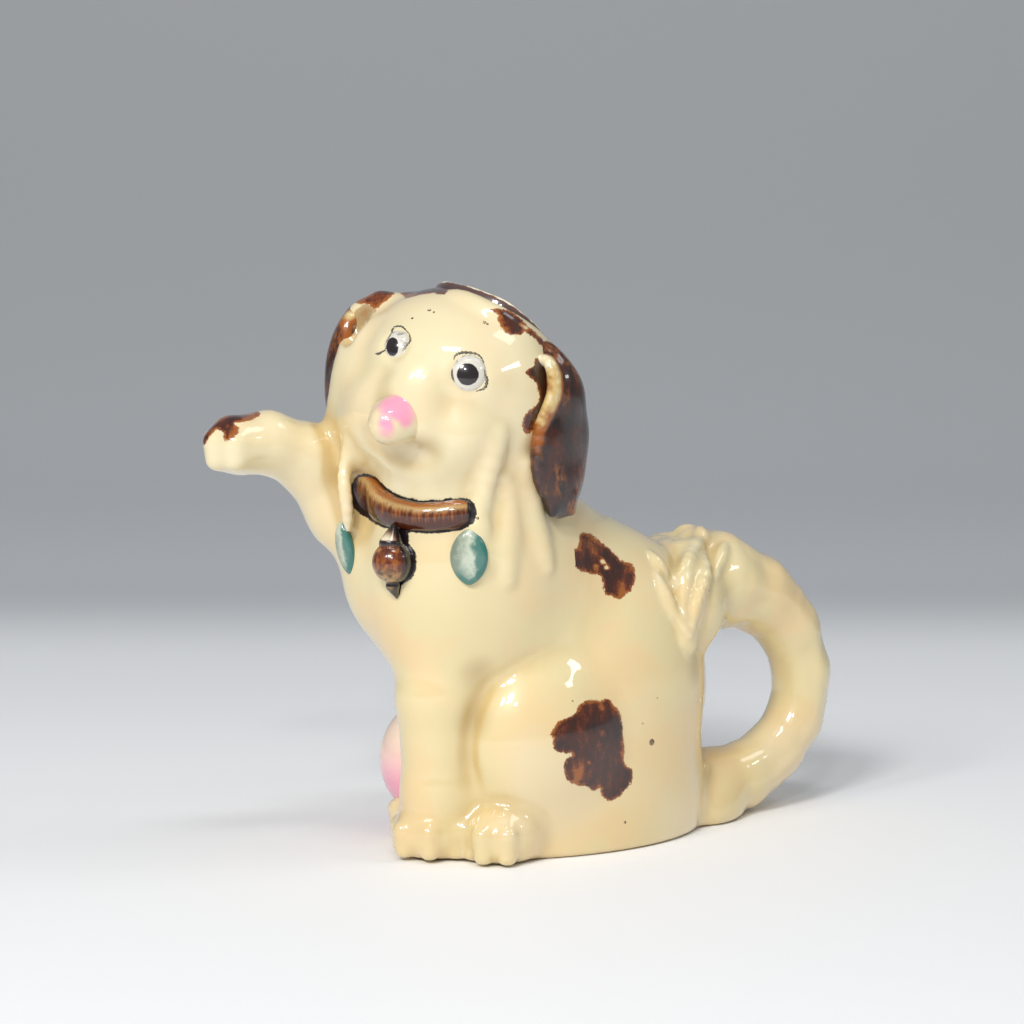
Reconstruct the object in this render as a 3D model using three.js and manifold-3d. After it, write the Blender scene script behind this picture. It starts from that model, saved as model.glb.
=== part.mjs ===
// Figural planter: a seated spaniel puppy in glazed slip-cast earthenware, millimetres, +Z up.
// +X is the way the chest faces, +Y is the puppy's left, the origin lies on the flat foot.
// The right foreleg is raised, the tail curls round to the back as a handle,
// and the crown of the head is open so that the hollow body holds the plant.
import * as THREE from "three";
import { mergeVertices } from "three/addons/utils/BufferGeometryUtils.js";
import Module from "manifold-3d";

const wasm = await Module();
wasm.setup();

// Driving dimensions of the casting.
const wall = 4;
const seam = 0.3;
const neckSeamHeight = 112;
const roomAbove = 120;
const roomAround = 400;

// The seated body: rump, skirt round the foot, chest and neck.
const rumpHalf = [44.5, 31, 47.5];
const rumpHeight = 47;
const rumpSetBack = 20.5;
const skirtHalf = [52, 32, 44];
const skirtHeight = 12;
const skirtSetBack = 13;
const chestHalf = [36, 31, 40];
const chestDrop = 28;
const chestHeight = neckSeamHeight - chestDrop;
const chestForward = 18;
const chestSide = -2;
const neckRadius = 28.5;
const neckTopRadius = 26;
const neckHalfLength = 16;
const neckForward = 24;
const neckLean = 2;
const footMiddle = -10;
const leanStart = 35;
const ruffHalf = [13, 13, 38];
const rightRuffPlace = [20, -18, 2];
const leftRuffPlace = [-4, 17, 0];
const bodySoftness = 12;
const neckSoftness = 10;
const skirtSoftness = 8;
const ruffSoftness = 5;
const haunchSoftness = 4;

// The back slopes from the shoulders to the rump: its two ends, measured from the chest's height.
const backTop = [-4, -1, 6];
const backFoot = [-34, 0, -7.5];
const backRadii = [22, 20];

// Haunches and hind paws, the same on both sides.
const haunchHalf = [26.5, 15.5, 30];
const haunchHeight = 35;
const haunchForward = 4;
const haunchSpread = 19;
const hindPawHalf = [12.5, 10, 10];
const hindPawHeight = 8;
const hindPawForward = 22;
const hindPawSpread = 22;

// The head: where it sits and how it is turned, tipped and tilted, in degrees.
const headForward = 26.5;
const headSide = 0.8;
const headRise = 33;
const headHeight = neckSeamHeight + headRise;
const headTurn = 35.5;
const headTip = -3;
const headTilt = 16;
const skullHalf = [31, 33, 28.8];
const skullPlace = [-1, 0, 1];
const jawHalf = [20, 24, 16];
const jawPlace = [13, 0, -13];
const cheekHalf = [12.5, 11.5, 11.5];
const cheekPlace = [19, 12, -9];
const browHalf = [12, 20, 9];
const browPlace = [18, 0, 8];
const bridgeHalf = [6, 8, 9];
const bridgePlace = [27, 0, -1];
const creaseHalf = [6, 10, 2.5];
const creasePlace = [33, 0, -19];
const skullSoftness = 8;
const faceSoftness = 6;
const creaseSoftness = 7;

// The mouth of the planter, cut in the back of the crown.
const mouthRadius = 18;
const mouthLean = 35;
const lipRadius = 1.6;
const mouthRise = 21.5;

// Face pieces.
const eyeRadius = 6;
const eyeSpread = 13;
const eyeRise = 10.8;
const eyeForward = 24;
const noseHalf = [7.4, 7, 7.2];
const noseForward = 31.5;
const noseDrop = 7;

// Forelegs.
const standingTopRadius = 16;
const standingKneeRadius = 12.5;
const standingAnkleRadius = 11;
const standingSide = 4;
const standingRootForward = 30;
const standingRootRise = 4;
const standingForward = 35;
const standingKneeHeight = 50;
const standingAnkleHeight = 20;
const forepawHalf = [12.5, 11.5, 9];
const forepawForward = 37;
const forepawHeight = 8;
const raisedRootRadius = 13.5;
const raisedElbowRadius = 12.5;
const raisedForearmRadius = 9.7;
const raisedWristRadius = 8.7;
const raisedPawRadius = 8.3;
const raisedSide = 25;
const raisedRise = 44.6;
const raisedHeight = chestHeight + raisedRise;
const raisedPawHalf = [9.2, 9.3, 8.8];
const raisedPawForward = 88.5;
const raisedPawDrop = 1.6;
const raisedPawBack = 1.5;
const toeRadius = 3.4;
const toeSoftness = 1.2;

// The raised leg's root and elbow, and the swell of its shoulder:
// forward, in from the leg's side, and below its height.
const raisedRoot = [37, 12, 36.6];
const raisedElbow = [50, 1, 22.6];
const raisedShoulder = [42, 8, 38.6];
const raisedShoulderHalf = [13, 13, 22];
const raisedShoulderSoftness = 8;

// Forearm and wrist of the raised leg: back from its paw, and below its height.
const raisedForearm = [23.5, 5.6];
const raisedWrist = [10.5, 0.6];

// Tail handle: how far behind the foot's middle it reaches, and how stout it is.
const tailReach = 110;
const tailRadius = 9.2;
const tailRootRadius = 11.5;
const tailTipRadius = 14.5;
const tailUpperRadii = [12.2, 10.1];
const tailLowerRadii = [9, 9.3, 10.2];
const tuftHalf = [14, 18, 17];
const tuftPlace = [-54, 0, 75];
const tuftLockHalf = [5, 5, 8];
const tuftLocks = [[-52, 6, 87], [-63, 4, 88], [-69, 8, 81], [-53, 15, 80], [-46, 15, 73], [-59, 15, 67]];
const tuftPoint = [[-58, 13, 64], [-59, 11.5, 55]];
const tuftPointRadii = [5, 2];
const tuftSoftness = 3;

// Points along the tail: those on the rump and the foot as forward and height,
// those round the bend as distance in from the reach, and height.
const tailTopPoints = [[-56, 79], [-74, 77], [-90, 72.5]];
const tailBendPoints = [[7, 61], [0, 44], [3, 29], [12.5, 18.5]];
const tailFootPoints = [[-84, 13], [-60, 12.5]];

// Ears, hanging from points measured from the middle of the head.
const earWide = 12;
const earThick = 5.2;
const leftEarPoints = [
  [-19.2, 23, 10],
  [-22.8, 27.4, 0.4],
  [-21.8, 26.6, -11.4],
  [-21, 26.2, -24],
  [-21.5, 27, -33.5],
];
const rightEarPoints = [
  [14, -18, 22.5],
  [20, -24.5, 17],
  [22, -28.5, 6],
  [21.5, -30.5, -7],
  [20.5, -30.5, -17],
];

// Collar, bell, ribbon leaves and hair locks round the neck; drops and rises from the collar's middle.
const collarDrop = 4.5;
const collarHeight = neckSeamHeight - collarDrop;
const collarHalfHeight = 4.8;
const collarEndHalfHeight = 3.7;
const collarHalfThick = 3.2;
const collarMiddle = 26;
const collarSpread = 42;
const bellRadius = 5.7;
const bellDrop = 13.9;
const bellTipDrop = 9;
const bellHeading = 15;
const bellLift = 1.5;
const bellCapLift = 1.2;
const bellTipLift = 0.6;
const bellHeight = collarHeight - bellDrop;
const leafHalf = [5.2, 3, 8];
const leafLift = 0.6;
const leftLeafHeading = 60;
const leftLeafDrop = 13;
const rightLeafHeading = -18;
const rightLeafDrop = 11.5;
const lockRadius = 2.6;
const lockLift = 0.4;
const lockRises = [15.5, 7.5, 0.5, -5.5];
const leftLockHeading = collarMiddle + collarSpread + 5;
const rightLockHeading = collarMiddle - collarSpread - 7;

// Play ball between the forelegs and the right haunch.
const ballRadius = 20.5;
const ballPlace = [15.5, -24.5, 24];

const point = ([x, y, z]) => new THREE.Vector3(x, y, z);

// Clay fields: negative inside the clay, positive outside, in millimetres.

function lump(centre, halves) {
  const [cx, cy, cz] = centre;
  const [hx, hy, hz] = halves;
  return (p) => {
    const x = p.x - cx;
    const y = p.y - cy;
    const z = p.z - cz;
    const reach = Math.hypot(x / hx, y / hy, z / hz);
    const slope = Math.hypot(x / hx ** 2, y / hy ** 2, z / hz ** 2);
    return slope > 1e-9 ? reach * (reach - 1) / slope : -Math.min(hx, hy, hz);
  };
}

function stem(from, to, fromRadius, toRadius) {
  const start = point(from);
  const run = point(to).sub(start);
  const offset = new THREE.Vector3();
  return (p) => {
    offset.copy(p).sub(start);
    const share = THREE.MathUtils.clamp(offset.dot(run) / run.lengthSq(), 0, 1);
    return offset.addScaledVector(run, -share).length() - (fromRadius + (toRadius - fromRadius) * share);
  };
}

function blend(softness, first, ...others) {
  return (p) => {
    let depth = first(p);
    for (const other of others) {
      const next = other(p);
      const near = Math.max(softness - Math.abs(depth - next), 0) / softness;
      depth = Math.min(depth, next) - near * near * softness * 0.25;
    }
    return depth;
  };
}

function hollowed(softness, clay, tool) {
  return (p) => {
    const here = clay(p);
    const away = -tool(p);
    const near = Math.max(softness - Math.abs(here - away), 0) / softness;
    return Math.max(here, away) + near * near * softness * 0.25;
  };
}

// The head's own frame: x forward out of the face, y to its left, z up out of the crown.
const headPlace = new THREE.Matrix4()
  .makeRotationZ(THREE.MathUtils.degToRad(headTurn))
  .multiply(new THREE.Matrix4().makeRotationY(THREE.MathUtils.degToRad(-headTip)))
  .multiply(new THREE.Matrix4().makeRotationX(THREE.MathUtils.degToRad(-headTilt)))
  .setPosition(headForward, headSide, headHeight);
const headInverse = headPlace.clone().invert();
const headLeft = new THREE.Vector3().setFromMatrixColumn(headPlace, 1);

function inHead(clay) {
  const local = new THREE.Vector3();
  return (p) => clay(local.copy(p).applyMatrix4(headInverse));
}

// A closed skin: the corners of a sphere pushed out to where the clay ends.
function skin(clay, centre, columns, rows, growth = 0) {
  const ball = new THREE.SphereGeometry(1, columns, rows).rotateX(Math.PI / 2);
  ball.deleteAttribute("normal");
  ball.deleteAttribute("uv");
  const shell = mergeVertices(ball, 1e-5);
  const corners = shell.attributes.position;
  const middle = point(centre);
  const heading = new THREE.Vector3();
  const probe = new THREE.Vector3();
  for (let i = 0; i < corners.count; i++) {
    heading.fromBufferAttribute(corners, i).normalize();
    let inside = 0;
    let outside = 0;
    do {
      inside = outside;
      outside += 1;
      probe.copy(middle).addScaledVector(heading, outside);
    } while (clay(probe) < growth && outside < 400);
    for (let halving = 0; halving < 24; halving++) {
      const between = (inside + outside) / 2;
      probe.copy(middle).addScaledVector(heading, between);
      if (clay(probe) < growth) inside = between;
      else outside = between;
    }
    probe.copy(middle).addScaledVector(heading, inside);
    corners.setXYZ(i, probe.x, probe.y, probe.z);
  }
  return solid(shell);
}

// A stack of level rings, each pushed out sideways to where the clay ends, closed below and above.
function stack(clay, { levels, middleAt, columns, growth = 0, crown = levels.at(-1) }) {
  const corners = [];
  const triangles = [];
  const probe = new THREE.Vector3();
  for (const level of levels) {
    const [middleX, middleY] = middleAt(level);
    for (let column = 0; column < columns; column++) {
      const angle = column / columns * 2 * Math.PI;
      const aim = (reach) => probe.set(
        middleX + Math.cos(angle) * reach,
        middleY + Math.sin(angle) * reach,
        level,
      );
      let inside = 0;
      let outside = 0;
      do {
        inside = outside;
        outside += 1;
      } while (clay(aim(outside)) < growth && outside < 200);
      for (let halving = 0; halving < 22; halving++) {
        const between = (inside + outside) / 2;
        if (clay(aim(between)) < growth) inside = between;
        else outside = between;
      }
      corners.push(aim(Math.max(inside, 0.2)).clone());
    }
  }
  for (let row = 0; row < levels.length - 1; row++) {
    for (let column = 0; column < columns; column++) {
      const next = (column + 1) % columns;
      const here = row * columns;
      const above = here + columns;
      triangles.push(here + column, here + next, above + next, here + column, above + next, above + column);
    }
  }
  const lastRow = (levels.length - 1) * columns;
  corners.push(new THREE.Vector3(...middleAt(levels[0]), levels[0]));
  corners.push(new THREE.Vector3(...middleAt(levels.at(-1)), crown));
  for (let column = 0; column < columns; column++) {
    const next = (column + 1) % columns;
    triangles.push(corners.length - 2, next, column);
    triangles.push(corners.length - 1, lastRow + column, lastRow + next);
  }
  const shell = new THREE.BufferGeometry().setFromPoints(corners);
  shell.setIndex(triangles);
  return solid(shell);
}

// Evenly stepped levels, or levels that close up towards a domed top.
const evenLevels = (from, to, count) => Array.from(
  { length: count + 1 },
  (_, i) => from + (to - from) * i / count,
);
const domeLevels = (from, to, count) => Array.from(
  { length: count },
  (_, i) => from + (to - from) * Math.sin(i / count * Math.PI / 2),
);

// A limb: oval rings along a curve, closed by rounded ends.
function limb({ path, wide, thick = wide, facing = [0, 1, 0], rings = 12, sides = 12, growth = 0 }) {
  const curve = new THREE.CatmullRomCurve3(path.map(point), false, "centripetal");
  const across = new THREE.Vector3();
  const side = new THREE.Vector3();
  const corners = [];
  const triangles = [];
  const capRows = 3;
  const stations = [];
  const capTurn = (row) => row / capRows * Math.PI / 2;
  for (let row = 1; row <= capRows; row++) stations.push({ share: 0, turn: capTurn(row - capRows) });
  for (let ring = 1; ring < rings; ring++) stations.push({ share: ring / rings, turn: 0 });
  for (let row = 0; row < capRows; row++) stations.push({ share: 1, turn: capTurn(row) });
  const sizeAt = (sizes, share) => {
    const place = share * (sizes.length - 1);
    const before = Math.min(Math.floor(place), sizes.length - 2);
    const ease = THREE.MathUtils.smoothstep(place - before, 0, 1);
    return sizes[before] + (sizes[before + 1] - sizes[before]) * ease + growth;
  };
  for (const { share, turn } of stations) {
    const centre = curve.getPoint(share);
    const along = curve.getTangent(share);
    across.copy(point(facing)).addScaledVector(along, -point(facing).dot(along)).normalize();
    side.crossVectors(along, across);
    const halfWide = sizeAt(wide, share);
    const halfThick = sizeAt(thick, share);
    centre.addScaledVector(along, Math.sin(turn) * Math.min(halfWide, halfThick));
    for (let i = 0; i < sides; i++) {
      const angle = i / sides * 2 * Math.PI;
      const corner = centre.clone()
        .addScaledVector(side, Math.cos(angle) * Math.cos(turn) * halfWide)
        .addScaledVector(across, Math.sin(angle) * Math.cos(turn) * halfThick);
      corners.push(corner);
    }
  }
  const last = stations.length - 1;
  for (let row = 0; row < last; row++) {
    for (let i = 0; i < sides; i++) {
      const next = (i + 1) % sides;
      const here = row * sides;
      const above = here + sides;
      triangles.push(here + i, above + next, here + next, here + i, above + i, above + next);
    }
  }
  for (const [row, outward] of [[0, -1], [last, 1]]) {
    const share = row === 0 ? 0 : 1;
    const reach = Math.min(sizeAt(wide, share), sizeAt(thick, share));
    corners.push(curve.getPoint(share).addScaledVector(curve.getTangent(share), outward * reach));
    const tip = corners.length - 1;
    for (let i = 0; i < sides; i++) {
      const next = (i + 1) % sides;
      if (row === 0) triangles.push(tip, row * sides + i, row * sides + next);
      else triangles.push(tip, row * sides + next, row * sides + i);
    }
  }
  const shell = new THREE.BufferGeometry().setFromPoints(corners);
  shell.setIndex(triangles);
  return solid(shell);
}

// A pebble: an ellipsoid of clay, grown where a seat has to be cut for it.
function pebble(centre, halves, columns = 14, rows = 9, growth = 0) {
  const ball = new THREE.SphereGeometry(1, columns, rows).rotateX(Math.PI / 2);
  ball.scale(halves[0] + growth, halves[1] + growth, halves[2] + growth);
  ball.translate(...centre);
  return solid(ball);
}

function headPebble(centre, halves, columns, rows) {
  const ball = new THREE.SphereGeometry(1, columns, rows).rotateX(Math.PI / 2);
  ball.scale(...halves);
  ball.translate(...centre);
  ball.applyMatrix4(headPlace);
  return solid(ball);
}

// Three.js surface to closed solid, and back to a named mesh.
function solid(geometry) {
  const bare = new THREE.BufferGeometry();
  bare.setAttribute("position", geometry.attributes.position.clone());
  bare.setIndex(geometry.index.clone());
  const merged = mergeVertices(bare, 1e-4);
  return new wasm.Manifold(new wasm.Mesh({
    numProp: 3,
    vertProperties: new Float32Array(merged.attributes.position.array),
    triVerts: new Uint32Array(merged.index.array),
  }));
}

function joined(pieces) {
  return pieces.reduce((whole, piece) => whole.add(piece));
}

function trimmed(piece, tools) {
  return tools.reduce((left, tool) => left.subtract(tool), piece);
}

const group = new THREE.Group();
group.name = "figural_planter";

function place(name, piece, material) {
  const { vertProperties, triVerts } = piece.getMesh();
  const geometry = new THREE.BufferGeometry();
  geometry.setAttribute("position", new THREE.BufferAttribute(vertProperties, 3));
  geometry.setIndex(new THREE.BufferAttribute(triVerts, 1));
  geometry.computeVertexNormals();
  const mesh = new THREE.Mesh(geometry, material.clone());
  mesh.name = name;
  group.add(mesh);
}

const glaze = (colour) => new THREE.MeshStandardMaterial({ color: colour, roughness: 0.18, metalness: 0 });
const creamGlaze = glaze(0xead7a8);
const brownGlaze = glaze(0x4a2412);
const amberGlaze = glaze(0x8a4a1c);
const pinkGlaze = glaze(0xf0b6c4);
const peachGlaze = glaze(0xf2c4a8);
const tealGlaze = glaze(0x4f8a80);
const eyeGlaze = glaze(0xe9e6da);

// The clay of the whole casting; the neck seam cuts it into the body and the head.
const bothSides = (make) => [make(1), make(-1)];
const neckFoot = [neckForward, 0, neckSeamHeight - neckHalfLength];
const neckTop = [neckForward, 0, neckSeamHeight + neckHalfLength];
const neck = stem(neckFoot, [neckTop[0] + neckLean, neckTop[1], neckTop[2]], neckRadius, neckTopRadius);
const fromNeckTop = (offset) => offset.map((length, axis) => neckTop[axis] + length);
const rightRuff = lump(fromNeckTop(rightRuffPlace), ruffHalf);
const leftRuff = lump(fromNeckTop(leftRuffPlace), ruffHalf.map((half) => half - 1));
const trunk = blend(
  bodySoftness,
  blend(
    skirtSoftness,
    lump([-rumpSetBack, 0, rumpHeight], rumpHalf),
    lump([-skirtSetBack, 0, skirtHeight], skirtHalf),
  ),
  lump([chestForward, chestSide, chestHeight], chestHalf),
);
const haunches = bothSides((side) => lump([haunchForward, side * haunchSpread, haunchHeight], haunchHalf));
const hindPawPlace = (side) => [hindPawForward, side * hindPawSpread, hindPawHeight];
const hindPaws = bothSides((side) => lump(hindPawPlace(side), hindPawHalf));
const fromChestHeight = ([x, y, z]) => [x, y, chestHeight + z];
const back = stem(fromChestHeight(backTop), fromChestHeight(backFoot), ...backRadii);
const onRaisedSide = ([forward, inward, below]) => [forward, inward - raisedSide, raisedHeight - below];
const shoulder = lump(onRaisedSide(raisedShoulder), raisedShoulderHalf);
const backed = blend(bodySoftness, blend(neckSoftness, trunk, neck), back);
const torsoClay = blend(ruffSoftness, blend(raisedShoulderSoftness, backed, shoulder), rightRuff, leftRuff);
const bodyClay = blend(haunchSoftness, torsoClay, ...haunches, ...hindPaws);

const cheeks = bothSides((side) => lump([cheekPlace[0], side * cheekPlace[1], cheekPlace[2]], cheekHalf));
const face = blend(
  faceSoftness,
  blend(skullSoftness, lump(skullPlace, skullHalf), lump(jawPlace, jawHalf)),
  lump(browPlace, browHalf),
  ...cheeks,
  lump(bridgePlace, bridgeHalf),
);
const headClay = inHead(hollowed(creaseSoftness, face, lump(creasePlace, creaseHalf)));
const clay = blend(faceSoftness, headClay, bodyClay);
function sectionMiddle(height) {
  const lean = THREE.MathUtils.smoothstep(height, leanStart, collarHeight);
  return [footMiddle + (neckForward + neckLean - footMiddle) * lean, headSide * lean];
}

// Height of the clay's surface straight above the middle of the neck.
function crownHeight(growth) {
  const [x, y] = sectionMiddle(neckSeamHeight);
  const probe = new THREE.Vector3(x, y, neckSeamHeight);
  while (clay(probe) < growth) probe.z += 0.05;
  return probe.z - 0.05;
}

const bodyLevels = evenLevels(0, neckSeamHeight, 22);
const headLevels = domeLevels(neckSeamHeight + seam, crownHeight(0), 16);
const outsideColumns = 42;
const insideColumns = 24;
const formed = (levels, growth, columns = outsideColumns) => stack(clay, {
  levels,
  middleAt: sectionMiddle,
  columns,
  growth,
});
const headFormed = (levels, growth, columns = outsideColumns) => stack(clay, {
  levels,
  middleAt: sectionMiddle,
  columns,
  growth,
  crown: crownHeight(growth),
});
const headGrown = headFormed([neckSeamHeight - seam, ...headLevels], seam);
const roomBlock = new THREE.BoxGeometry(roomAround, roomAround, roomAbove * 2);
const aboveFoot = solid(roomBlock.translate(0, 0, roomAbove));

// A paw with three toes.
const paw = ([x, y, z], [halfLong, halfWide, halfHigh], growth) => {
  const toes = [-1, 0, 1].map((across) => stem(
    [x, y + across * halfWide * 0.52, z + halfHigh * 0.62],
    [x + halfLong * (0.84 - Math.abs(across) * 0.1), y + across * halfWide * 0.6, z - halfHigh * 0.3],
    toeRadius * 0.7,
    toeRadius,
  ));
  const pad = lump([x, y, z], [halfLong, halfWide, halfHigh]);
  return skin(blend(toeSoftness, pad, ...toes), [x, y, z], 24, 14, growth);
};
const hindPaw = (side, growth) => paw(hindPawPlace(side), hindPawHalf, growth);
const bodyGrown = joined([
  formed([-1, ...bodyLevels, neckSeamHeight + seam], seam),
  ...bothSides((side) => hindPaw(side, seam)),
]);

// Body shell with its hind paws, hollow, with a flat foot.
const bodyHollowLevels = evenLevels(wall, neckSeamHeight + 1, 14);
const bodyShell = joined([formed(bodyLevels, 0), ...bothSides((side) => hindPaw(side, 0))])
  .intersect(aboveFoot)
  .subtract(formed(bodyHollowLevels, -wall, insideColumns));
place("body_shell", bodyShell, creamGlaze);

// Head shell, hollow, open at the back of the crown with a rolled lip.
const mouthAxis = new THREE.Vector3(
  -Math.sin(THREE.MathUtils.degToRad(mouthLean)),
  0,
  Math.cos(THREE.MathUtils.degToRad(mouthLean)),
);
const mouthTurn = new THREE.Quaternion().setFromUnitVectors(new THREE.Vector3(0, 0, 1), mouthAxis);
const mouthCentre = point([headForward, headSide, headHeight]).addScaledVector(mouthAxis, mouthRise);
const lip = new THREE.TorusGeometry(mouthRadius + lipRadius, lipRadius, 7, 26);
lip.applyQuaternion(mouthTurn);
lip.translate(mouthCentre.x, mouthCentre.y, mouthCentre.z);
const bore = new THREE.CylinderGeometry(mouthRadius, mouthRadius, mouthRise * 2, 28).rotateX(Math.PI / 2);
bore.applyQuaternion(mouthTurn);
bore.translate(...mouthCentre.clone().addScaledVector(mouthAxis, mouthRise / 2).toArray());
const headHollowLevels = domeLevels(neckSeamHeight - 1, crownHeight(-wall), 10);
const headShell = headFormed(headLevels, 0)
  .add(solid(lip))
  .subtract(headFormed(headHollowLevels, -wall, insideColumns))
  .subtract(solid(bore));
place("head_shell", headShell, creamGlaze);

// Forelegs: one stands, one is raised to wave.
const standingLimb = (growth) => limb({
  path: [
    [standingRootForward, standingSide, chestHeight + standingRootRise],
    [standingForward, standingSide, standingKneeHeight],
    [standingForward, standingSide, standingAnkleHeight],
    [forepawForward - 1, standingSide, forepawHeight + 1],
  ],
  wide: [standingTopRadius, standingKneeRadius, standingAnkleRadius, standingAnkleRadius],
  growth,
});
const forepawPlace = [forepawForward, standingSide, forepawHeight];
const standingForm = (growth) => joined([
  standingLimb(growth),
  paw(forepawPlace, forepawHalf, growth),
]).intersect(aboveFoot);
const standingForeleg = trimmed(standingForm(0), [bodyGrown]);
place("standing_foreleg", standingForeleg, creamGlaze);

const raisedPawPlace = [raisedPawForward, -raisedSide, raisedHeight - raisedPawDrop];
const raisedLimb = (growth) => limb({
  path: [
    onRaisedSide(raisedRoot),
    onRaisedSide(raisedElbow),
    ...[raisedForearm, raisedWrist].map(([before, below]) => onRaisedSide([raisedPawForward - before, 0, below])),
    [raisedPawForward - raisedPawBack, raisedPawPlace[1], raisedPawPlace[2]],
  ],
  wide: [raisedRootRadius, raisedElbowRadius, raisedForearmRadius, raisedWristRadius, raisedPawRadius],
  rings: 15,
  growth,
});
const raisedGrown = raisedLimb(seam);
const raisedForeleg = trimmed(
  joined([raisedLimb(0), paw(raisedPawPlace, raisedPawHalf, 0)]),
  [bodyGrown, headGrown],
);
place("raised_foreleg", raisedForeleg, creamGlaze);

// Tail handle: from the foot of the rump out and up, the tuft laid back on the rump.
const tailLimb = limb({
  path: [
    ...tailTopPoints.map(([x, z]) => [x, 0, z]),
    ...tailBendPoints.map(([inward, z]) => [inward - tailReach, 0, z]),
    ...tailFootPoints.map(([x, z]) => [x, 0, z]),
  ],
  wide: [tailTipRadius, tailTipRadius, ...tailUpperRadii, tailRadius, ...tailLowerRadii, tailRootRadius],
  rings: 26,
  sides: 14,
});
const mirrored = ([x, y, z], side) => [x, side * y, z];
const tuftTips = [1, -1].flatMap((side) => [
  ...tuftLocks.map((place) => lump(mirrored(place, side), tuftLockHalf)),
  stem(...tuftPoint.map((place) => mirrored(place, side)), ...tuftPointRadii),
]);
const tuftClay = blend(tuftSoftness, lump(tuftPlace, tuftHalf), ...tuftTips);
const tuft = skin(tuftClay, tuftPlace, 28, 18);
const tailHandle = trimmed(
  joined([tailLimb, tuft]).intersect(aboveFoot),
  [bodyGrown],
);
place("tail_handle", tailHandle, creamGlaze);

// Ears: flat flaps that hang from high on the skull.
const fromHead = ([x, y, z]) => [headForward + x, headSide + y, headHeight + z];
const leftEar = (growth) => limb({
  path: leftEarPoints.map(fromHead),
  wide: [earWide * 0.45, earWide * 0.9, earWide, earWide * 0.9, earWide * 0.5],
  thick: [earThick, earThick * 1.1, earThick, earThick, earThick * 0.7],
  facing: headLeft.toArray(),
  growth,
});
const rightEar = (growth) => limb({
  path: rightEarPoints.map(fromHead),
  wide: [earWide * 0.4, earWide * 0.75, earWide * 0.85, earWide * 0.75, earWide * 0.45],
  thick: [earThick, earThick * 1.1, earThick, earThick, earThick * 0.7],
  facing: headLeft.toArray(),
  growth,
});
place("left_ear", trimmed(leftEar(0), [headGrown, bodyGrown]), brownGlaze);
place("right_ear", trimmed(rightEar(0), [headGrown, bodyGrown, raisedGrown]), brownGlaze);

// Eyes and the round nose stand on the face.
const eyeHalf = [eyeRadius, eyeRadius, eyeRadius];
const eye = (side) => headPebble([eyeForward, side * eyeSpread, eyeRise], eyeHalf, 16, 10);
place("left_eye", trimmed(eye(1), [headGrown]), eyeGlaze);
place("right_eye", trimmed(eye(-1), [headGrown]), eyeGlaze);
const noseBall = headPebble([noseForward, 0, -noseDrop], noseHalf, 18, 12);
place("nose", trimmed(noseBall, [headGrown, bodyGrown]), pinkGlaze);

// The throat: the body's clay with the root of the raised leg, which the locks also lie on.
const raisedRootStem = stem(
  onRaisedSide(raisedRoot),
  onRaisedSide(raisedElbow),
  raisedRootRadius,
  raisedElbowRadius,
);
const throat = blend(seam, bodyClay, raisedRootStem);

// Points on the neck's surface, by heading round the neck and height.
const levelHeading = (heading) => {
  const turn = THREE.MathUtils.degToRad(heading);
  return [Math.cos(turn), Math.sin(turn), 0];
};

function onNeck(heading, height, lift = 0) {
  const outward = point(levelHeading(heading));
  const probe = new THREE.Vector3();
  let reach = 5;
  do {
    reach += 0.1;
    probe.set(neckForward, 0, height).addScaledVector(outward, reach);
  } while (throat(probe) < lift && reach < 90);
  return probe.toArray();
}

// Hair locks down both sides of the throat, each ending over a ribbon leaf.
const lockLimb = (heading, growth) => limb({
  path: lockRises.map((rise) => onNeck(heading, collarHeight + rise, lockLift)),
  wide: [lockRadius * 0.7, lockRadius, lockRadius, lockRadius * 0.8],
  facing: levelHeading(heading),
  rings: 8,
  sides: 8,
  growth,
});
const earsGrown = [leftEar(seam), rightEar(seam)];
const around = [headGrown, bodyGrown, raisedGrown, ...earsGrown];
place("left_lock", trimmed(lockLimb(leftLockHeading, 0), around), creamGlaze);
place("right_lock", trimmed(lockLimb(rightLockHeading, 0), around), creamGlaze);
const locksGrown = [lockLimb(leftLockHeading, seam), lockLimb(rightLockHeading, seam)];

// Collar band across the throat between the locks, with the bell under it.
const collarShares = [-1, -0.6, -0.2, 0.2, 0.6, 1];
const collarLimb = (growth) => limb({
  path: collarShares.map((share) => onNeck(collarMiddle + share * collarSpread, collarHeight)),
  wide: [collarEndHalfHeight, collarHalfHeight, collarHalfHeight, collarEndHalfHeight],
  thick: [collarHalfThick, collarHalfThick],
  facing: levelHeading(collarMiddle),
  rings: 14,
  sides: 10,
  growth,
});
place("collar_band", trimmed(collarLimb(0), [...around, ...locksGrown]), brownGlaze);

const bellPlace = onNeck(bellHeading, bellHeight, bellLift);
const bellTop = onNeck(bellHeading, collarHeight - collarHalfHeight, bellCapLift);
const bellBody = joined([
  pebble(bellPlace, [bellRadius, bellRadius, bellRadius * 1.1], 12, 9),
  limb({ path: [bellPlace, bellTop], wide: [bellRadius * 0.55, bellRadius * 0.35], rings: 4, sides: 8 }),
  limb({
    path: [bellPlace, onNeck(bellHeading, bellHeight - bellTipDrop, bellTipLift)],
    wide: [bellRadius * 0.5, bellRadius * 0.18],
    rings: 4,
    sides: 8,
  }),
]);
place("bell", trimmed(bellBody, [headGrown, bodyGrown, collarLimb(seam)]), amberGlaze);

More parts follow.
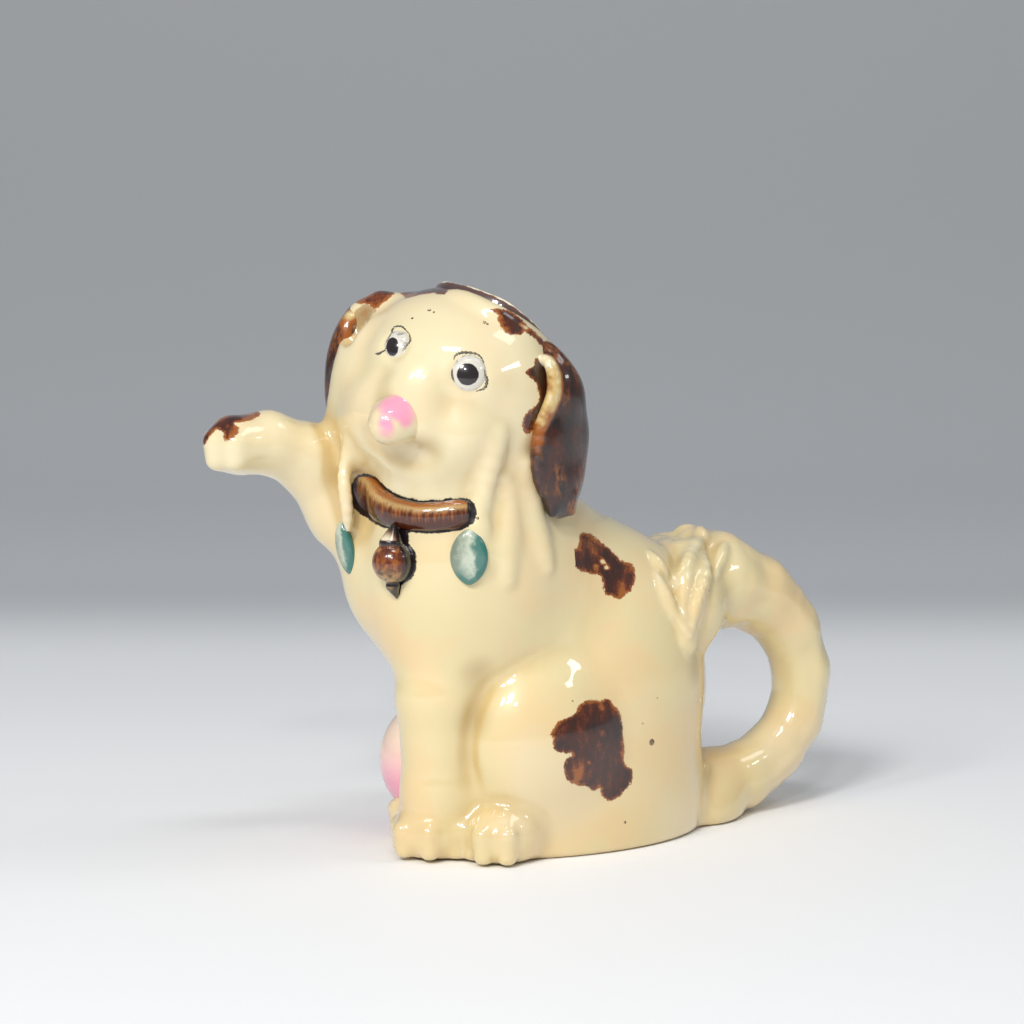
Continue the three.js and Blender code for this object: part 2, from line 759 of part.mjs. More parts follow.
// Ribbon leaves under the locks.
function leaf(heading, drop) {
  const shape = new THREE.SphereGeometry(1, 14, 10).rotateX(Math.PI / 2);
  shape.scale(leafHalf[1], leafHalf[0], leafHalf[2]);
  shape.rotateZ(THREE.MathUtils.degToRad(heading));
  shape.translate(...onNeck(heading, collarHeight - drop, leafLift));
  return solid(shape);
}
const leafTools = [...around, ...locksGrown, collarLimb(seam)];
place("left_leaf", trimmed(leaf(leftLeafHeading, leftLeafDrop), leafTools), tealGlaze);
place("right_leaf", trimmed(leaf(rightLeafHeading, rightLeafDrop), leafTools), tealGlaze);

// The play ball rests against the body behind the standing foreleg.
const ballHalf = [ballRadius, ballRadius, ballRadius];
place("ball", trimmed(pebble(ballPlace, ballHalf, 22, 15), [bodyGrown, standingForm(seam)]), peachGlaze);

export default group;
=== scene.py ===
"""Figural planter: a seated spaniel puppy in glazed slip-cast earthenware, with its paint and studio."""
import math
from functools import lru_cache

import bpy
import numpy as np
from bpy.props import FloatProperty, FloatVectorProperty, PointerProperty
from mathutils import Matrix, Vector


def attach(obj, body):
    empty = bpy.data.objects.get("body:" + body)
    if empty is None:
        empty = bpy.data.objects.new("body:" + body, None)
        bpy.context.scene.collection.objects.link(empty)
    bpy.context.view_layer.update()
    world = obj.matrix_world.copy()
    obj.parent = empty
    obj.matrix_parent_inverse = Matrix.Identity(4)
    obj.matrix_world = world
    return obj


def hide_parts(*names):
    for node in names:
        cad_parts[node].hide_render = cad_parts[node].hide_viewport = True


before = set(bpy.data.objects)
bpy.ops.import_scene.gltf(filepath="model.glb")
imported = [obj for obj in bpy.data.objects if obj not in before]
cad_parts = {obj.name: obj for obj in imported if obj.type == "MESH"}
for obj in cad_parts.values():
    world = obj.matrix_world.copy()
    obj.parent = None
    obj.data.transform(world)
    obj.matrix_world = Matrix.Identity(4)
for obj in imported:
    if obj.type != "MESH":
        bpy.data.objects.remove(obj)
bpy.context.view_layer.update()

bl_info = {
    "name": "Puppy planter",
    "version": (1, 0, 0),
    "blender": (4, 5, 0),
    "location": "3D View > Sidebar > Planter",
    "description": "Models and glazes a puppy-shaped pottery planter round its packed frame",
    "category": "Add Mesh",
}

# Forms are worked out in millimetres in the part's frame and become metres in their meshes.
MM = 0.001
FORWARD = np.array([1.0, 0.0, 0.0])
LEFT = np.array([0.0, 1.0, 0.0])
UP = np.array([0.0, 0.0, 1.0])

# The seated body: middle and half lengths of each lump.
RUMP = ((-20.5, 0, 47), (44.5, 31, 47.5))
SKIRT = ((-13, 0, 12), (52, 32, 44))
CHEST = ((18, -2, 84), (36, 31, 40))
NECK = ((24, 0, 96), (26, 0, 128), 28.5, 26)
NEAR_RUFF = ((20, 17, 128), (12, 12, 37))
FAR_RUFF = ((44, -18, 130), (13, 13, 38))
SHOULDERS = ((-4, -1, 90), (-34, 0, 76.5), 22, 20)
RAISED_SHOULDER = ((42, -17, 90), (13, 13, 22))
HAUNCH = ((4, 19, 35), (26.5, 15.5, 30))
HIND_PAW = ((22, 22, 8), (12.5, 10, 10))
NECK_MIDDLE = (24, 0)

# Forelegs: points down the leg and how stout it is there.
STANDING_LEG = [(30, 4, 88), (35, 4, 50), (35, 4, 20), (36, 4, 9)]
STANDING_STOUT = [16, 12.5, 11, 11]
FOREPAW = ((37, 4, 8), (12.5, 11.5, 9))
RAISED_LEG = [(37, -13, 92), (50, -24, 106), (65, -25, 123), (78, -25, 128), (87, -25, 127.3)]
RAISED_STOUT = [13.5, 12.5, 9.7, 8.7, 8.3]
RAISED_PAW = ((88, -25, 127.7), (9.2, 9.3, 8.4))

# Which way the toes of each paw point, from straight ahead towards the puppy's left.
FOREPAW_TOES = (-48, 2, 55, 105)
HIND_PAW_TOES = (-28, 20, 66)
RAISED_PAW_TOES = (-55, 0, 55)
TOE_STOUT = 3.0

# Tail handle and the tuft of hair at its tip, laid on the rump.
TAIL = [
    (-56, 0, 78), (-73, 0, 77.6), (-89.5, 0, 72.7), (-103.4, 0, 61), (-110.3, 0, 44), (-107.5, 0, 29),
    (-98, 0, 18.5), (-84, 0, 11.6), (-72, 0, 9.6), (-58, 0, 9),
]
TAIL_STOUT = [14.5, 15.2, 12.3, 9.8, 8.6, 8.5, 9.0, 10.2, 12.0, 14.0]
TUFT = ((-55, 0, 74), (14, 18, 16))
TUFT_SIDE = ((-55.5, 11.5, 70), (9, 9.5, 12.5))
TAIL_FOOT = ((-64, 0, 4), (17, 17, 13))

# Ridges of hair along the tail: turns from its outer side in degrees, radius, and how deep they sink.
TAIL_RIDGE_TURNS = (35, 80, 125)
TAIL_RIDGE_STOUT = 3.7
TAIL_RIDGE_SINK = 3.35

# Curls of hair on top of the tuft, on each side: middle and radius.
TUFT_CURLS = [(-66, 2, 90.2, 5.4), (-58, 6, 86.6, 5.4), (-74, 3, 86.8, 6.8), (-50, 6, 84, 4.5)]

# The tongue of hair laid on each side of the rump: points down its middle, half widths and heights off the
# skin; then the ridges on it and round it, each with points along it.
TONGUE = [
    (-54, 13, 92), (-51.5, 18, 86), (-49, 21.5, 79.5), (-48, 24, 73), (-47.5, 26, 68), (-47, 27, 64),
    (-46.5, 26.6, 60.5),
]
TONGUE_WIDE = [9.0, 10.5, 11.0, 9.5, 7.2, 4.6, 1.4]
TONGUE_HIGH = [2.0, 2.8, 3.4, 3.6, 3.4, 2.8, 1.4]
WIDEST_STRIP = 8.0
RIDGE_WIDE = 2.3
RIDGE_HIGH = 1.7
TUFT_RIDGES = [
    [(-35.7, 16.7, 90.8), (-37.5, 19, 87.5), (-39.5, 20.2, 84)],
    [(-35, 21.5, 85), (-37, 24, 79), (-40, 26, 72), (-43.5, 27.3, 65)],
    [(-57.6, 10.4, 90.4), (-50, 17.5, 88.2), (-44.9, 20.3, 84.5), (-42.1, 22, 80)],
    [(-60.5, 15.2, 89.3), (-55, 19, 82.5), (-50, 23, 77.5), (-46.9, 25.1, 72), (-44.3, 26.6, 65)],
    [(-48.3, 20.9, 84.3), (-45, 22.3, 80.5), (-42.5, 24.5, 75), (-42.8, 26, 70)],
    [(-66, 2, 95.5), (-62.4, 8, 94), (-56, 13.5, 91.5)],
    [(-71, 8, 89), (-66, 13, 86.5), (-60, 17.5, 81)],
]

# The head: its middle, and how it is turned, tipped and tilted in degrees.
HEAD = (26.5, 0.8, 145)
HEAD_TURN = 35.5
HEAD_TIP = -3
HEAD_TILT = 16
SKULL = ((-1, 0, 1), (31, 33, 28.8))
JAW = ((13, 0, -13), (20, 24, 16))
BROW = ((18, 0, 8), (12, 20, 9))
CHEEK = ((19, 12, -9), (12.5, 11.5, 11.5))
SNOUT = ((28.5, -1.5, -8.5), (9, 11, 9.5))
BRIDGE = ((29, -1, 0), (6, 8, 10))
MOUTH_CREASE = ((36.5, -1.5, -18), (7, 12, 4.5))

# Each eye: the middle of its front, the way it looks, its half lengths along, across and up, its tilt in
# degrees, and its pupil's place, half lengths across and up, and tilt.
NEAR_EYE = ((40.2, 30.6, 150.7), (0.45, 0.88, 0.15), (3.2, 5.4, 5.5), 0, (40.9, 31.0, 150.4), (3.25, 3.25), 0)
FAR_EYE = ((54.4, 11.0, 159.3), (0.80, 0.42, 0.42), (2.9, 4.3, 4.7), 28, (55.4, 10.9, 158.4), (2.2, 2.9), 22)
NOSE = (37.2, -3.6, -8.8)

# The opening in the back of the crown: how far it stands from the head's middle, and how far back it leans.
MOUTH_RISE = 21.5
MOUTH_LEAN = 35
BORE_REACH = 60.0
BORE_HEIGHT = 40

# The lip round the opening bulges at one side. It stands on the edge, and flares by some degrees; below it, a
# roll of clay runs round a part of the edge.
LIP_BULGE = 2.6
LIP_BULGE_TURN = -68
LIP_BULGE_SPREAD = 0.46
LIP_RISE = 0.2
LIP_OFF_EDGE = 1.6
LIP_FLARE = 12
LIP_HALF_THICK = 0.7
LIP_HALF_HIGH = 2.9
ROLL_TURNS = (-118, -14, 8)
ROLL_RISE = -2.4
ROLL_AROUND = 18.9
ROLL_STOUT = 2.7

# Hair locks down the throat, and the soft folds below the ears.
NEAR_LOCK = [(29.5, 29.6, 132), (31.5, 28.6, 123), (32.6, 26.6, 115), (34.4, 26.4, 108), (36.5, 26.4, 102)]
FAR_LOCK = [(58.2, -8.5, 127), (60, -9, 121), (61, -7.6, 115), (60.4, -7.0, 108), (59.4, -8.2, 102)]
LOCK_STOUT = np.array([1.6, 2.2, 2.5, 2.6, 2.6, 2.6, 2.5, 2.2, 1.5])
FAR_LOCK_SHARE = 0.72
FOLD_WIDE = 2.4
FOLD_HIGH = 0.95
FOLDS = [
    [(26, 27.8, 118), (25, 29.0, 110), (25.5, 29.8, 102), (26.5, 30.5, 95), (26, 30.8, 88)],
    [(19, 26.5, 123), (17, 27.0, 115), (15, 28.0, 107), (13, 29.0, 99), (11, 29.6, 91)],
    [(33, 24.5, 104), (33.5, 25.5, 98), (34, 26, 91)],
]

# Where the face runs on into the hair below the far ear, and the top of that ear: places and how stout.
FAR_HAIR = [(50, -11.5, 158), (50.5, -12, 147), (51, -10.5, 136), (50.5, -8.5, 126)]
FAR_HAIR_STOUT = [4.5, 6.5, 7.2, 5.5]
FAR_EAR_ROOT = [
    (52.2, -16.5, 159.5), (53, -17.5, 151.5), (54, -18.4, 143.5), (54.8, -19.6, 135.7), (55.4, -20.3, 128),
]
FAR_EAR_ROOT_STOUT = [1.2, 2.4, 3, 3.2, 3.4, 3.6, 3.6, 3, 2]
FAR_EAR_TOP = [(37.5, -12.5, 168.6), (42, -17.2, 168.4), (45.8, -20.8, 165.4), (48, -23.6, 160)]
FAR_EAR_TOP_STOUT = [3.6, 4.6, 4.8, 4.6]
FAR_EAR_HOLLOW = ((53.5, -14.6, 163.4), (3.4, 3.2, 6.0))

# Ears: rows down each flap of its middle, half width and half thickness; the rolled front rims; the near
# ear's drips; and the headings in degrees of the way each flap's width runs.
NEAR_EAR = [
    (9.0, 24.4, 154.6, 3.0, 3.0), (7.6, 27.4, 150.3, 4.0, 3.6), (5.8, 29.2, 145.4, 6.0, 4.1),
    (4.8, 28.7, 141.2, 7.5, 4.5), (4.9, 27.4, 133.6, 11.0, 4.8), (5.4, 26.9, 127.4, 12.4, 5.0),
    (5.8, 26.7, 119.8, 11.4, 5.0), (5.8, 27.0, 115.2, 8.6, 4.4), (5.6, 27.4, 111.6, 5.6, 3.2),
]
NEAR_EAR_HEADING = 20
NEAR_RIM = [
    (14.0, 27.5, 153.9), (12.4, 30.3, 153.3), (11.9, 32.2, 151.0), (11.6, 33.1, 145.9), (12.7, 33.0, 141.8),
    (13.9, 32.5, 138.8), (15.9, 31.9, 134.3), (16.6, 31.4, 128.3), (16.6, 31.0, 121.4), (14.4, 30.7, 114.6),
]
NEAR_DRIPS = [[(9.4, 29.6, 112), (9.9, 29.6, 107.2)], [(3.9, 29.3, 112), (2.8, 29.4, 107.4)]]
FAR_EAR = [
    (43.0, -19.0, 166.0, 3.0, 2.6), (45.6, -22.2, 164.0, 5.5, 3.8), (47.4, -24.8, 159.8, 8.5, 4.4),
    (48.2, -27.3, 153.0, 10.2, 4.5), (48.0, -29.0, 145.5, 10.4, 4.4), (47.6, -29.6, 138.0, 9.5, 4.2),
    (46.8, -29.8, 130.0, 7.0, 3.8),
]
FAR_EAR_HEADING = 35.5
FAR_RIM = [
    (51.2, -20.2, 165.4), (52.4, -20.4, 162.4), (52.9, -20.1, 158.4), (53.0, -20.0, 153.8),
    (53.3, -20.4, 148.9),
]

# Collar, bell and ribbon leaves: headings round the neck in degrees, heights in millimetres. The collar's
# rows are heading, height and how its half height compares with the usual one.
COLLAR = [
    (-21, 113.8, 1.34), (-12, 111.8, 1.3), (0, 109.5, 1.18), (18, 107.7, 1.0), (36, 107.1, 0.92),
    (52, 107.8, 0.94), (62, 108.4, 0.84),
]
BELL_HEADING = 18.5
BELL_HEIGHT = 93.2
BELL_CAP_RISE = 10.5
BELL_TIP_DROP = 11
NEAR_LEAF = (38.3, 27.3, 95.4)
FAR_LEAF = (57.2, -13.7, 95.3)
FAR_LEAF_SHARE = 0.66

# The play ball between the forelegs.
BALL_MIDDLE = (15.5, -24.5, 24)

# How deep behind its middle a patch still paints, and how far off the brushwork unpainted places count.
PATCH_REACH = 16.0
OFF_PATCH = 30.0

# Brown brushwork on the casting. Each patch has its middle on the skin, its outline in millimetres across
# and up from there as the camera sees it, and the spots inside where the glaze is thin: across, up, radius
# and how thin.
HAUNCH_PATCH = (
    (-2.1, 34.1, 33.6),
    [
        (-13.3, 5.3), (-12.5, 7.3), (-10.5, 9.6), (-8.0, 10.6), (-5.8, 11.6), (-4.7, 13.6), (-2.0, 15.4),
        (0.7, 15.9), (2.0, 15.3), (4.7, 15.9), (6.6, 14.0), (8.5, 11.3), (9.2, 8.0), (9.6, 4.0), (10.0, -0.3),
        (10.3, -4.7), (12.0, -6.3), (12.8, -9.0), (12.1, -11.3), (10.3, -13.1), (7.6, -15.3), (5.5, -16.2),
        (4.0, -15.4), (2.7, -13.6), (2.2, -11.8), (0.3, -12.5), (-1.0, -11.3), (-2.7, -10.8), (-5.0, -10.3),
        (-7.3, -9.0), (-8.8, -6.6), (-9.1, -4.3), (-8.1, -2.0), (-6.6, -0.7), (-8.6, -0.2), (-10.5, -0.3),
        (-12.1, 0.7), (-12.5, 2.7), (-12.5, 4.7),
    ],
    [
        (-4.6, -6.6, 3.6, 0.75), (2.7, 13.4, 1.2, 1.0), (3.0, 5.4, 1.1, 0.9), (1.8, 1.8, 1.0, 0.7),
        (-11.0, 6.8, 3.0, 0.5), (0.0, 14.0, 4.5, 0.4), (7.0, 12.0, 2.5, 0.4), (-1.2, -3.4, 0.7, 1.3),
    ],
)
SHOULDER_PATCH = (
    (-16.3, 17.5, 88.2),
    [
        (-10.5, 2.4), (-10.6, 3.7), (-9.8, 5.4), (-7.9, 5.6), (-7.1, 7.4), (-6.9, 9.8), (-5.1, 10.3),
        (-3.0, 10.0), (-1.5, 8.4), (0.3, 6.9), (2.4, 5.4), (4.1, 3.7), (6.1, 1.9), (8.1, 1.2), (10.0, 0.2),
        (10.8, -2.0), (10.6, -5.7), (9.8, -6.4), (9.5, -8.1), (7.4, -9.1), (6.1, -10.3), (4.4, -10.0),
        (2.7, -9.1), (1.4, -9.3), (0.7, -7.4), (0.3, -4.1), (-0.7, -3.0), (-2.4, -2.5), (-3.4, -2.7),
        (-4.7, -2.0), (-6.8, -1.4), (-8.4, -0.3), (-9.8, 0.2),
    ],
    [
        (0.4, 1.4, 1.0, 2.6), (1.6, -0.4, 0.9, 2.6), (-1.6, -0.3, 1.1, 1.5), (-4.2, 7.4, 3.2, 0.9),
        (-1.8, 5.0, 2.8, 0.8), (6.0, -7.6, 3.0, 0.6), (9.0, -0.8, 1.6, 0.4), (-9.4, 3.0, 1.6, 0.5),
    ],
)
CROWN_PATCH = (
    (19.1, 24.6, 164.7),
    [
        (-8.2, 4.1), (-5.6, 4.3), (-3.3, 4.0), (-1.4, 3.3), (0.7, 1.6), (2.4, 0.1), (4.9, -2.2), (7.0, -4.3),
        (9.8, -7.3), (7.5, -7.1), (5.3, -5.2), (3.2, -3.3), (1.7, -2.6), (0.9, -3.7), (-1.8, -3.8),
        (-3.3, -3.3), (-4.8, -1.8), (-5.6, -0.3), (-6.9, 1.0), (-5.6, 1.6), (-6.9, 2.8),
    ],
    [
        (-5.6, 0.4, 2.0, 0.9), (-3.2, -2.6, 1.6, 0.6), (-6.6, 3.2, 2.0, 0.5), (2.4, -1.4, 1.2, 1.9),
        (1.0, -0.4, 0.7, 1.9),
    ],
)
PAW_PATCH = (
    (95.2, -19.2, 133.5),
    [
        (-7.3, -5.6), (-7.6, -3.0), (-6.5, -0.8), (-4.8, 1.2), (-3.1, 2.6), (-0.6, 4.2), (2.1, 5.4),
        (4.6, 6.0), (7.7, 6.0), (9.6, 4.6), (9.0, 3.3), (7.4, 2.5), (5.2, 2.0), (3.5, 1.5),
        (2.1, 1.5), (3.7, 0.6),
        (4.0, -0.6), (3.4, -2.5), (1.5, -3.7), (-0.2, -3.7), (-0.9, -2.9), (-0.8, -1.8), (-1.5, -0.9),
        (-2.9, -0.5), (-3.8, -1.5), (-5.2, -3.4), (-6.4, -4.9),
    ],
    [(6.8, 3.6, 3.0, 0.9), (1.8, -2.0, 2.4, 0.8), (0.4, 0.4, 0.8, 0.9)],
)
# Olive smear in the far ear's hollow, standing for thin glaze and for the shade in that hollow.
EAR_HOLLOW_STAIN_AND_SHADE = (
    (50.9, -17.5, 163.3),
    [
        (-1.3, 2.1), (-0.8, 4.1), (0.7, 5.4), (2.6, 6.4), (5.0, 5.8), (6.2, 4.6), (5.6, 3.1), (4.4, 1.7),
        (3.2, 0.3), (1.9, -0.2), (0.7, -1.8), (-0.3, -3.4), (-1.5, -3.0), (-1.8, -0.6),
    ],
    [(1.8, 3.0, 6.0, 1.0)],
)
EAR_TOP_PATCH = (
    (50.9, -17.5, 163.3),
    [
        (-0.3, 7.0), (-2.0, 9.0), (0.0, 12.0), (5.0, 14.0), (10.5, 14.0), (12.0, 10.6), (10.9, 8.6),
        (8.9, 7.2), (7.3, 5.8), (6.2, 4.6), (4.6, 5.6), (2.6, 6.8), (1.1, 6.4),
    ],
    [(5.5, 7.6, 3.0, 0.75), (2.0, 8.6, 2.4, 0.95), (8.6, 8.4, 2.2, 0.55), (0.2, 7.4, 1.4, 1.2)],
)
# A brown patch in the hollow behind the near ear's rim, standing for brown glaze and for the shade in that
# hollow.
EAR_ROOT_GLAZE_AND_SHADE = (
    (14.5, 27.0, 142.0),
    [
        (-3.4, 7.4), (-1.2, 5.6), (0.6, 3.4), (1.0, 0.4), (0.4, -2.0), (-2.0, -3.6), (-3.6, -6.0),
        (-4.0, -8.6), (-2.9, -10.6), (-1.2, -10.2), (0.4, -7.5), (3.0, -3.0), (4.6, 1.0), (5.4, 5.0),
        (5.0, 9.0), (3.4, 11.5), (0.6, 12.0), (-1.0, 9.2),
    ],
    [(-2.8, 7.0, 1.2, 0.4)],
)
CROWN_EDGE = (
    (36, 8, 173),
    [
        (-14.6, 2.6), (-12.2, 1.0), (-11.0, -0.5), (-9.2, -0.4), (-8.0, 0.1), (-5.1, 0.4), (-1.5, 0.5),
        (1.5, 0.4), (1.5, 4.0), (-5.0, 4.5), (-12.0, 4.0),
    ],
    [(-10.5, 0.5, 1.6, 0.6)],
)

# Specks of stray glaze: place near the skin, radius and cover.
SPECKS = [
    (42.0, 10.9, 168.6, 0.6, 1), (41.5, 12.6, 168.0, 0.45, 1), (46.7, 8.9, 166.2, 0.45, 1),
    (30.0, 22.9, 165.0, 0.65, 1), (29.3, 23.5, 164.6, 0.4, 1), (-27.0, 30.4, 33.3, 1.1, 1),
    (-15.8, 31.9, 9.5, 0.5, 1), (-29.0, 30.4, 47.1, 0.3, 1), (-23.2, 30.7, 39.7, 0.3, 1),
    (-54.5, 21.2, 78.2, 0.4, 1), (4.4, 32.6, 49.5, 0.3, 1), (36.1, 28.7, 107.1, 0.45, 1),
]

# Spots of painted shade in hollows and creases, under the near ear, under the tuft, at the tail's root and on
# the rump's rear: place, radius and how dark.
PAINTED_SHADE_SPOTS = [
    (65.0, 15.2, 143.6, 5.0, 0.5), (60.0, 18.5, 126.0, 7.5, 0.55), (52.0, 25.0, 128.0, 6.0, 0.35),
    (29.5, 16.0, 62.0, 6.0, 0.4), (29.0, 17.0, 44.0, 7.0, 0.5), (-49.0, 24.0, 53.0, 6.0, 0.45),
    (-60.0, 12.0, 20.0, 6.5, 0.5), (17.5, 27.5, 118.0, 6.0, 0.55), (18.5, 26.0, 128.0, 5.0, 0.55),
    (-56.0, 19.0, 45.0, 10.0, 0.3), (-57.0, 17.0, 26.0, 10.0, 0.3),
]

# Where the photograph was taken from, in millimetres, and the lens that gives its frame.
CAMERA_PLACE = (507.1, 772.7, 201.5)
CAMERA_HEADING = 57
CAMERA_PITCH = 6
CAMERA_LENS = 104.4
CAMERA_SENSOR = 36


def linear(red, green, blue):
    """A screen colour from 0 to 255 as Blender's linear colour."""
    shares = [channel / 255 for channel in (red, green, blue)]
    return tuple(s / 12.92 if s <= 0.04045 else ((s + 0.055) / 1.055) ** 2.4 for s in shares)


def length(name, description, millimetres):
    """A size that the sidebar shows in the scene's length unit."""
    return FloatProperty(
        name=name, description=description, default=millimetres * MM, unit="LENGTH", precision=4,
    )


def colour(name, description, red, green, blue):
    """A colour that the sidebar shows as a swatch."""
    return FloatVectorProperty(
        name=name, description=description, default=linear(red, green, blue), subtype="COLOR", min=0, max=1,
    )


class PlanterSizes(bpy.types.PropertyGroup):
    """Sizes of the planter that a user may change."""
    wall: length("Wall", "Thickness of the cast wall", 4)
    pitch: length("Fineness", "Spacing of the corners of the casting's skin", 1.0)
    mouth: length("Mouth radius", "Radius of the opening in the crown", 18)
    eye: length("Eye half width", "Half the width of the near eyeball", 5.7)
    nose: length("Nose radius", "Radius of the round nose", 6.2)
    collar_height: length("Collar half height", "Half the height of the collar band", 4.8)
    collar_thickness: length("Collar half thickness", "How far the collar stands out", 3.2)
    bell: length("Bell radius", "Radius of the bell on the collar", 6.3)
    leaf_width: length("Leaf half width", "Half the width of a ribbon leaf", 5.0)
    leaf_length: length("Leaf half length", "Half the length of a ribbon leaf", 6.9)
    ball: length("Ball radius", "Radius of the play ball", 20.5)


class GlazeColours(bpy.types.PropertyGroup):
    """Colours of the glazes."""
    cream: colour("Cream", "Body glaze", 234, 216, 165)
    honey: colour("Honey", "Body glaze where it pools in hollows", 210, 180, 118)
    # Shade is the colour of the painted shade spots on the body glaze.
    shade: colour("Shade", "Body glaze where it darkens softly", 176, 146, 92)
    # Olive also paints the shade in the far ear's hollow.
    olive: colour("Olive", "Smeared glaze in the hollow of the far ear", 132, 104, 62)
    peach_cream: colour("Peach cream", "Warm clouds in the body glaze", 240, 209, 156)
    ivory: colour("Ivory", "Body glaze where it thins on ridges", 240, 230, 198)
    amber: colour("Amber", "Thin brown glaze", 158, 88, 28)
    russet: colour("Russet", "Brown glaze at its edges", 108, 48, 14)
    brown: colour("Brown", "Brown glaze", 74, 28, 6)
    deep_brown: colour("Deep brown", "Thick brown glaze", 46, 21, 13)
    black_brown: colour("Black brown", "Brown glaze pooled at an edge", 26, 15, 15)
    pink: colour("Pink", "Nose and ball", 247, 164, 188)
    peach: colour("Peach", "Upper side of the ball", 254, 226, 202)
    teal: colour("Teal", "Ribbon leaves", 38, 112, 102)
    grey_green: colour("Grey green", "Smeared side of the leaves", 128, 140, 122)
    pale_teal: colour("Pale teal", "Thin side of the leaves", 198, 206, 184)
    eye_white: colour("Eye white", "Eyeballs", 222, 216, 202)
    pupil: colour("Pupil", "Pupils and lid lines", 34, 24, 26)


def toward(heading):
    """The level direction at a heading in degrees, from straight ahead towards the puppy's left."""
    return np.array([math.cos(math.radians(heading)), math.sin(math.radians(heading)), 0])


def unit(rows):
    """A direction, or rows of directions, at length one."""
    return rows / np.maximum(np.linalg.norm(rows, axis=-1, keepdims=True), 1e-9)


def spacing(final):
    """How far apart a skin's corners are, in millimetres."""
    return final


def sizes():
    return bpy.context.scene.planter_sizes


def glazes():
    return bpy.context.scene.planter_glazes


# Clay: distance rules, negative inside and positive outside.

def soft_least(first, second, softness):
    least = np.minimum(first, second)
    if softness <= 0:
        return least
    near = np.maximum(softness - np.abs(first - second), 0) / softness
    return least - near * near * softness * 0.25


class Form:
    """One simple lump of clay: a distance rule, and the box that holds the lump."""

    def __init__(self, rule, low, high):
        self.rule = rule
        self.low = np.asarray(low, float)
        self.high = np.asarray(high, float)

    def __call__(self, points):
        return self.rule(points)


class Clay:
    """Clay that is added and carved in steps. Further than `reach` from its skin it says only `far`."""

    reach = 7.5
    far = 60.0

    def __init__(self, *steps):
        self.steps = list(steps)

    def add(self, form, softness=0.0):
        self.steps.append(("add", form, softness))
        return self

    def carve(self, form, softness=0.0):
        self.steps.append(("carve", form, softness))
        return self

    @property
    def low(self):
        return np.min([form.low for way, form, softness in self.steps if way == "add"], axis=0)

    @property
    def high(self):
        return np.max([form.high for way, form, softness in self.steps if way == "add"], axis=0)

    def __call__(self, points):
        depth = np.full(len(points), self.far, points.dtype)
        for way, form, softness in self.steps:
            margin = self.reach + softness
            low = form.low - margin
            high = form.high + margin
            inside = (points[:, 0] > low[0]) & (points[:, 0] < high[0])
            for axis in (1, 2):
                inside &= (points[:, axis] > low[axis]) & (points[:, axis] < high[axis])
            near = np.flatnonzero(inside)
            if not len(near):
                continue
            tool = form(points[near])
            if way == "add":
                depth[near] = soft_least(depth[near], tool, softness)
            else:
                depth[near] = -soft_least(-depth[near], tool, softness)
        return depth


def lump(middle, halves, axes=None):
    """An ellipsoid. The rows of axes are the directions of its half lengths."""
    middle = np.asarray(middle, float)
    halves = np.asarray(halves, float)

    def rule(points):
        away = points - middle.astype(points.dtype)
        if axes is not None:
            away = away @ axes.T.astype(points.dtype)
        scaled = away / halves.astype(points.dtype)
        span = np.sqrt((scaled * scaled).sum(1))
        steeper = scaled / halves.astype(points.dtype)
        steep = np.sqrt((steeper * steeper).sum(1))
        return np.where(steep > 1e-6, span * (span - 1) / np.maximum(steep, 1e-6), -halves.min())

    spread = halves if axes is None else np.full(3, halves.max())
    return Form(rule, middle - spread, middle + spread)


def stem(start, end, start_radius, end_radius):
    """A rod with round ends that tapers from one radius to another."""
    start = np.asarray(start, float)
    run = np.asarray(end, float) - start
    stout = max(start_radius, end_radius)

    def rule(points):
        away = points - start.astype(points.dtype)
        share = np.clip(away @ run.astype(points.dtype) / (run @ run), 0, 1).astype(points.dtype)
        away -= share[:, None] * run.astype(points.dtype)
        taper = start_radius + (end_radius - start_radius) * share
        return np.sqrt((away * away).sum(1)) - taper

    return Form(rule, np.minimum(start, start + run) - stout, np.maximum(start, start + run) + stout)


def strand(points, stoutness, softness=3.0):
    """Rods from point to point, blended into one limb."""
    limb = Clay()
    for index in range(len(points) - 1):
        rod = stem(points[index], points[index + 1], stoutness[index], stoutness[index + 1])
        limb.add(rod, softness)
    return limb


def curve_through(points, count):
    """Evenly shared points on a smooth curve through the given ones."""
    knots = np.asarray(points, float)
    padded = np.vstack([2 * knots[0] - knots[1], knots, 2 * knots[-1] - knots[-2]])
    places = np.linspace(0, len(knots) - 1, count)
    before = np.minimum(places.astype(int), len(knots) - 2)
    t = (places - before)[:, None]
    a, b, c, d = (padded[before + step] for step in range(4))
    bend = 2 * a - 5 * b + 4 * c - d
    twist = 3 * b - a - 3 * c + d
    return 0.5 * (2 * b + (c - a) * t + bend * t ** 2 + twist * t ** 3)


def both_sides(points):
    """A line of points and its mirror image."""
    return points, [(x, -y, z) for x, y, z in points]


def turned_axes(turn, tip=0.0, tilt=0.0):
    """Rows: forward, left and up of something turned, tipped and tilted by these degrees."""
    tip, tilt = np.radians([tip, tilt])
    forward = toward(turn)
    left = np.cross(UP, forward)
    front = math.cos(tip) * forward + math.sin(tip) * UP
    crown = math.cos(tip) * UP - math.sin(tip) * forward
    return np.array([front, math.cos(tilt) * left - math.sin(tilt) * crown,
                     math.cos(tilt) * crown + math.sin(tilt) * left])


HEAD_AXES = turned_axes(HEAD_TURN, HEAD_TIP, HEAD_TILT)
MOUTH_AXIS = np.array([-math.sin(math.radians(MOUTH_LEAN)), 0, math.cos(math.radians(MOUTH_LEAN))])
MOUTH_MIDDLE = np.array(HEAD) + MOUTH_RISE * MOUTH_AXIS


def from_head(point):
    """A point of the head's own frame, in the part's frame."""
    return np.array(HEAD) + np.asarray(point, float) @ HEAD_AXES


def head_lump(place, side=1):
    (x, y, z), halves = place
    return lump(from_head((x, y * side, z)), halves, HEAD_AXES)


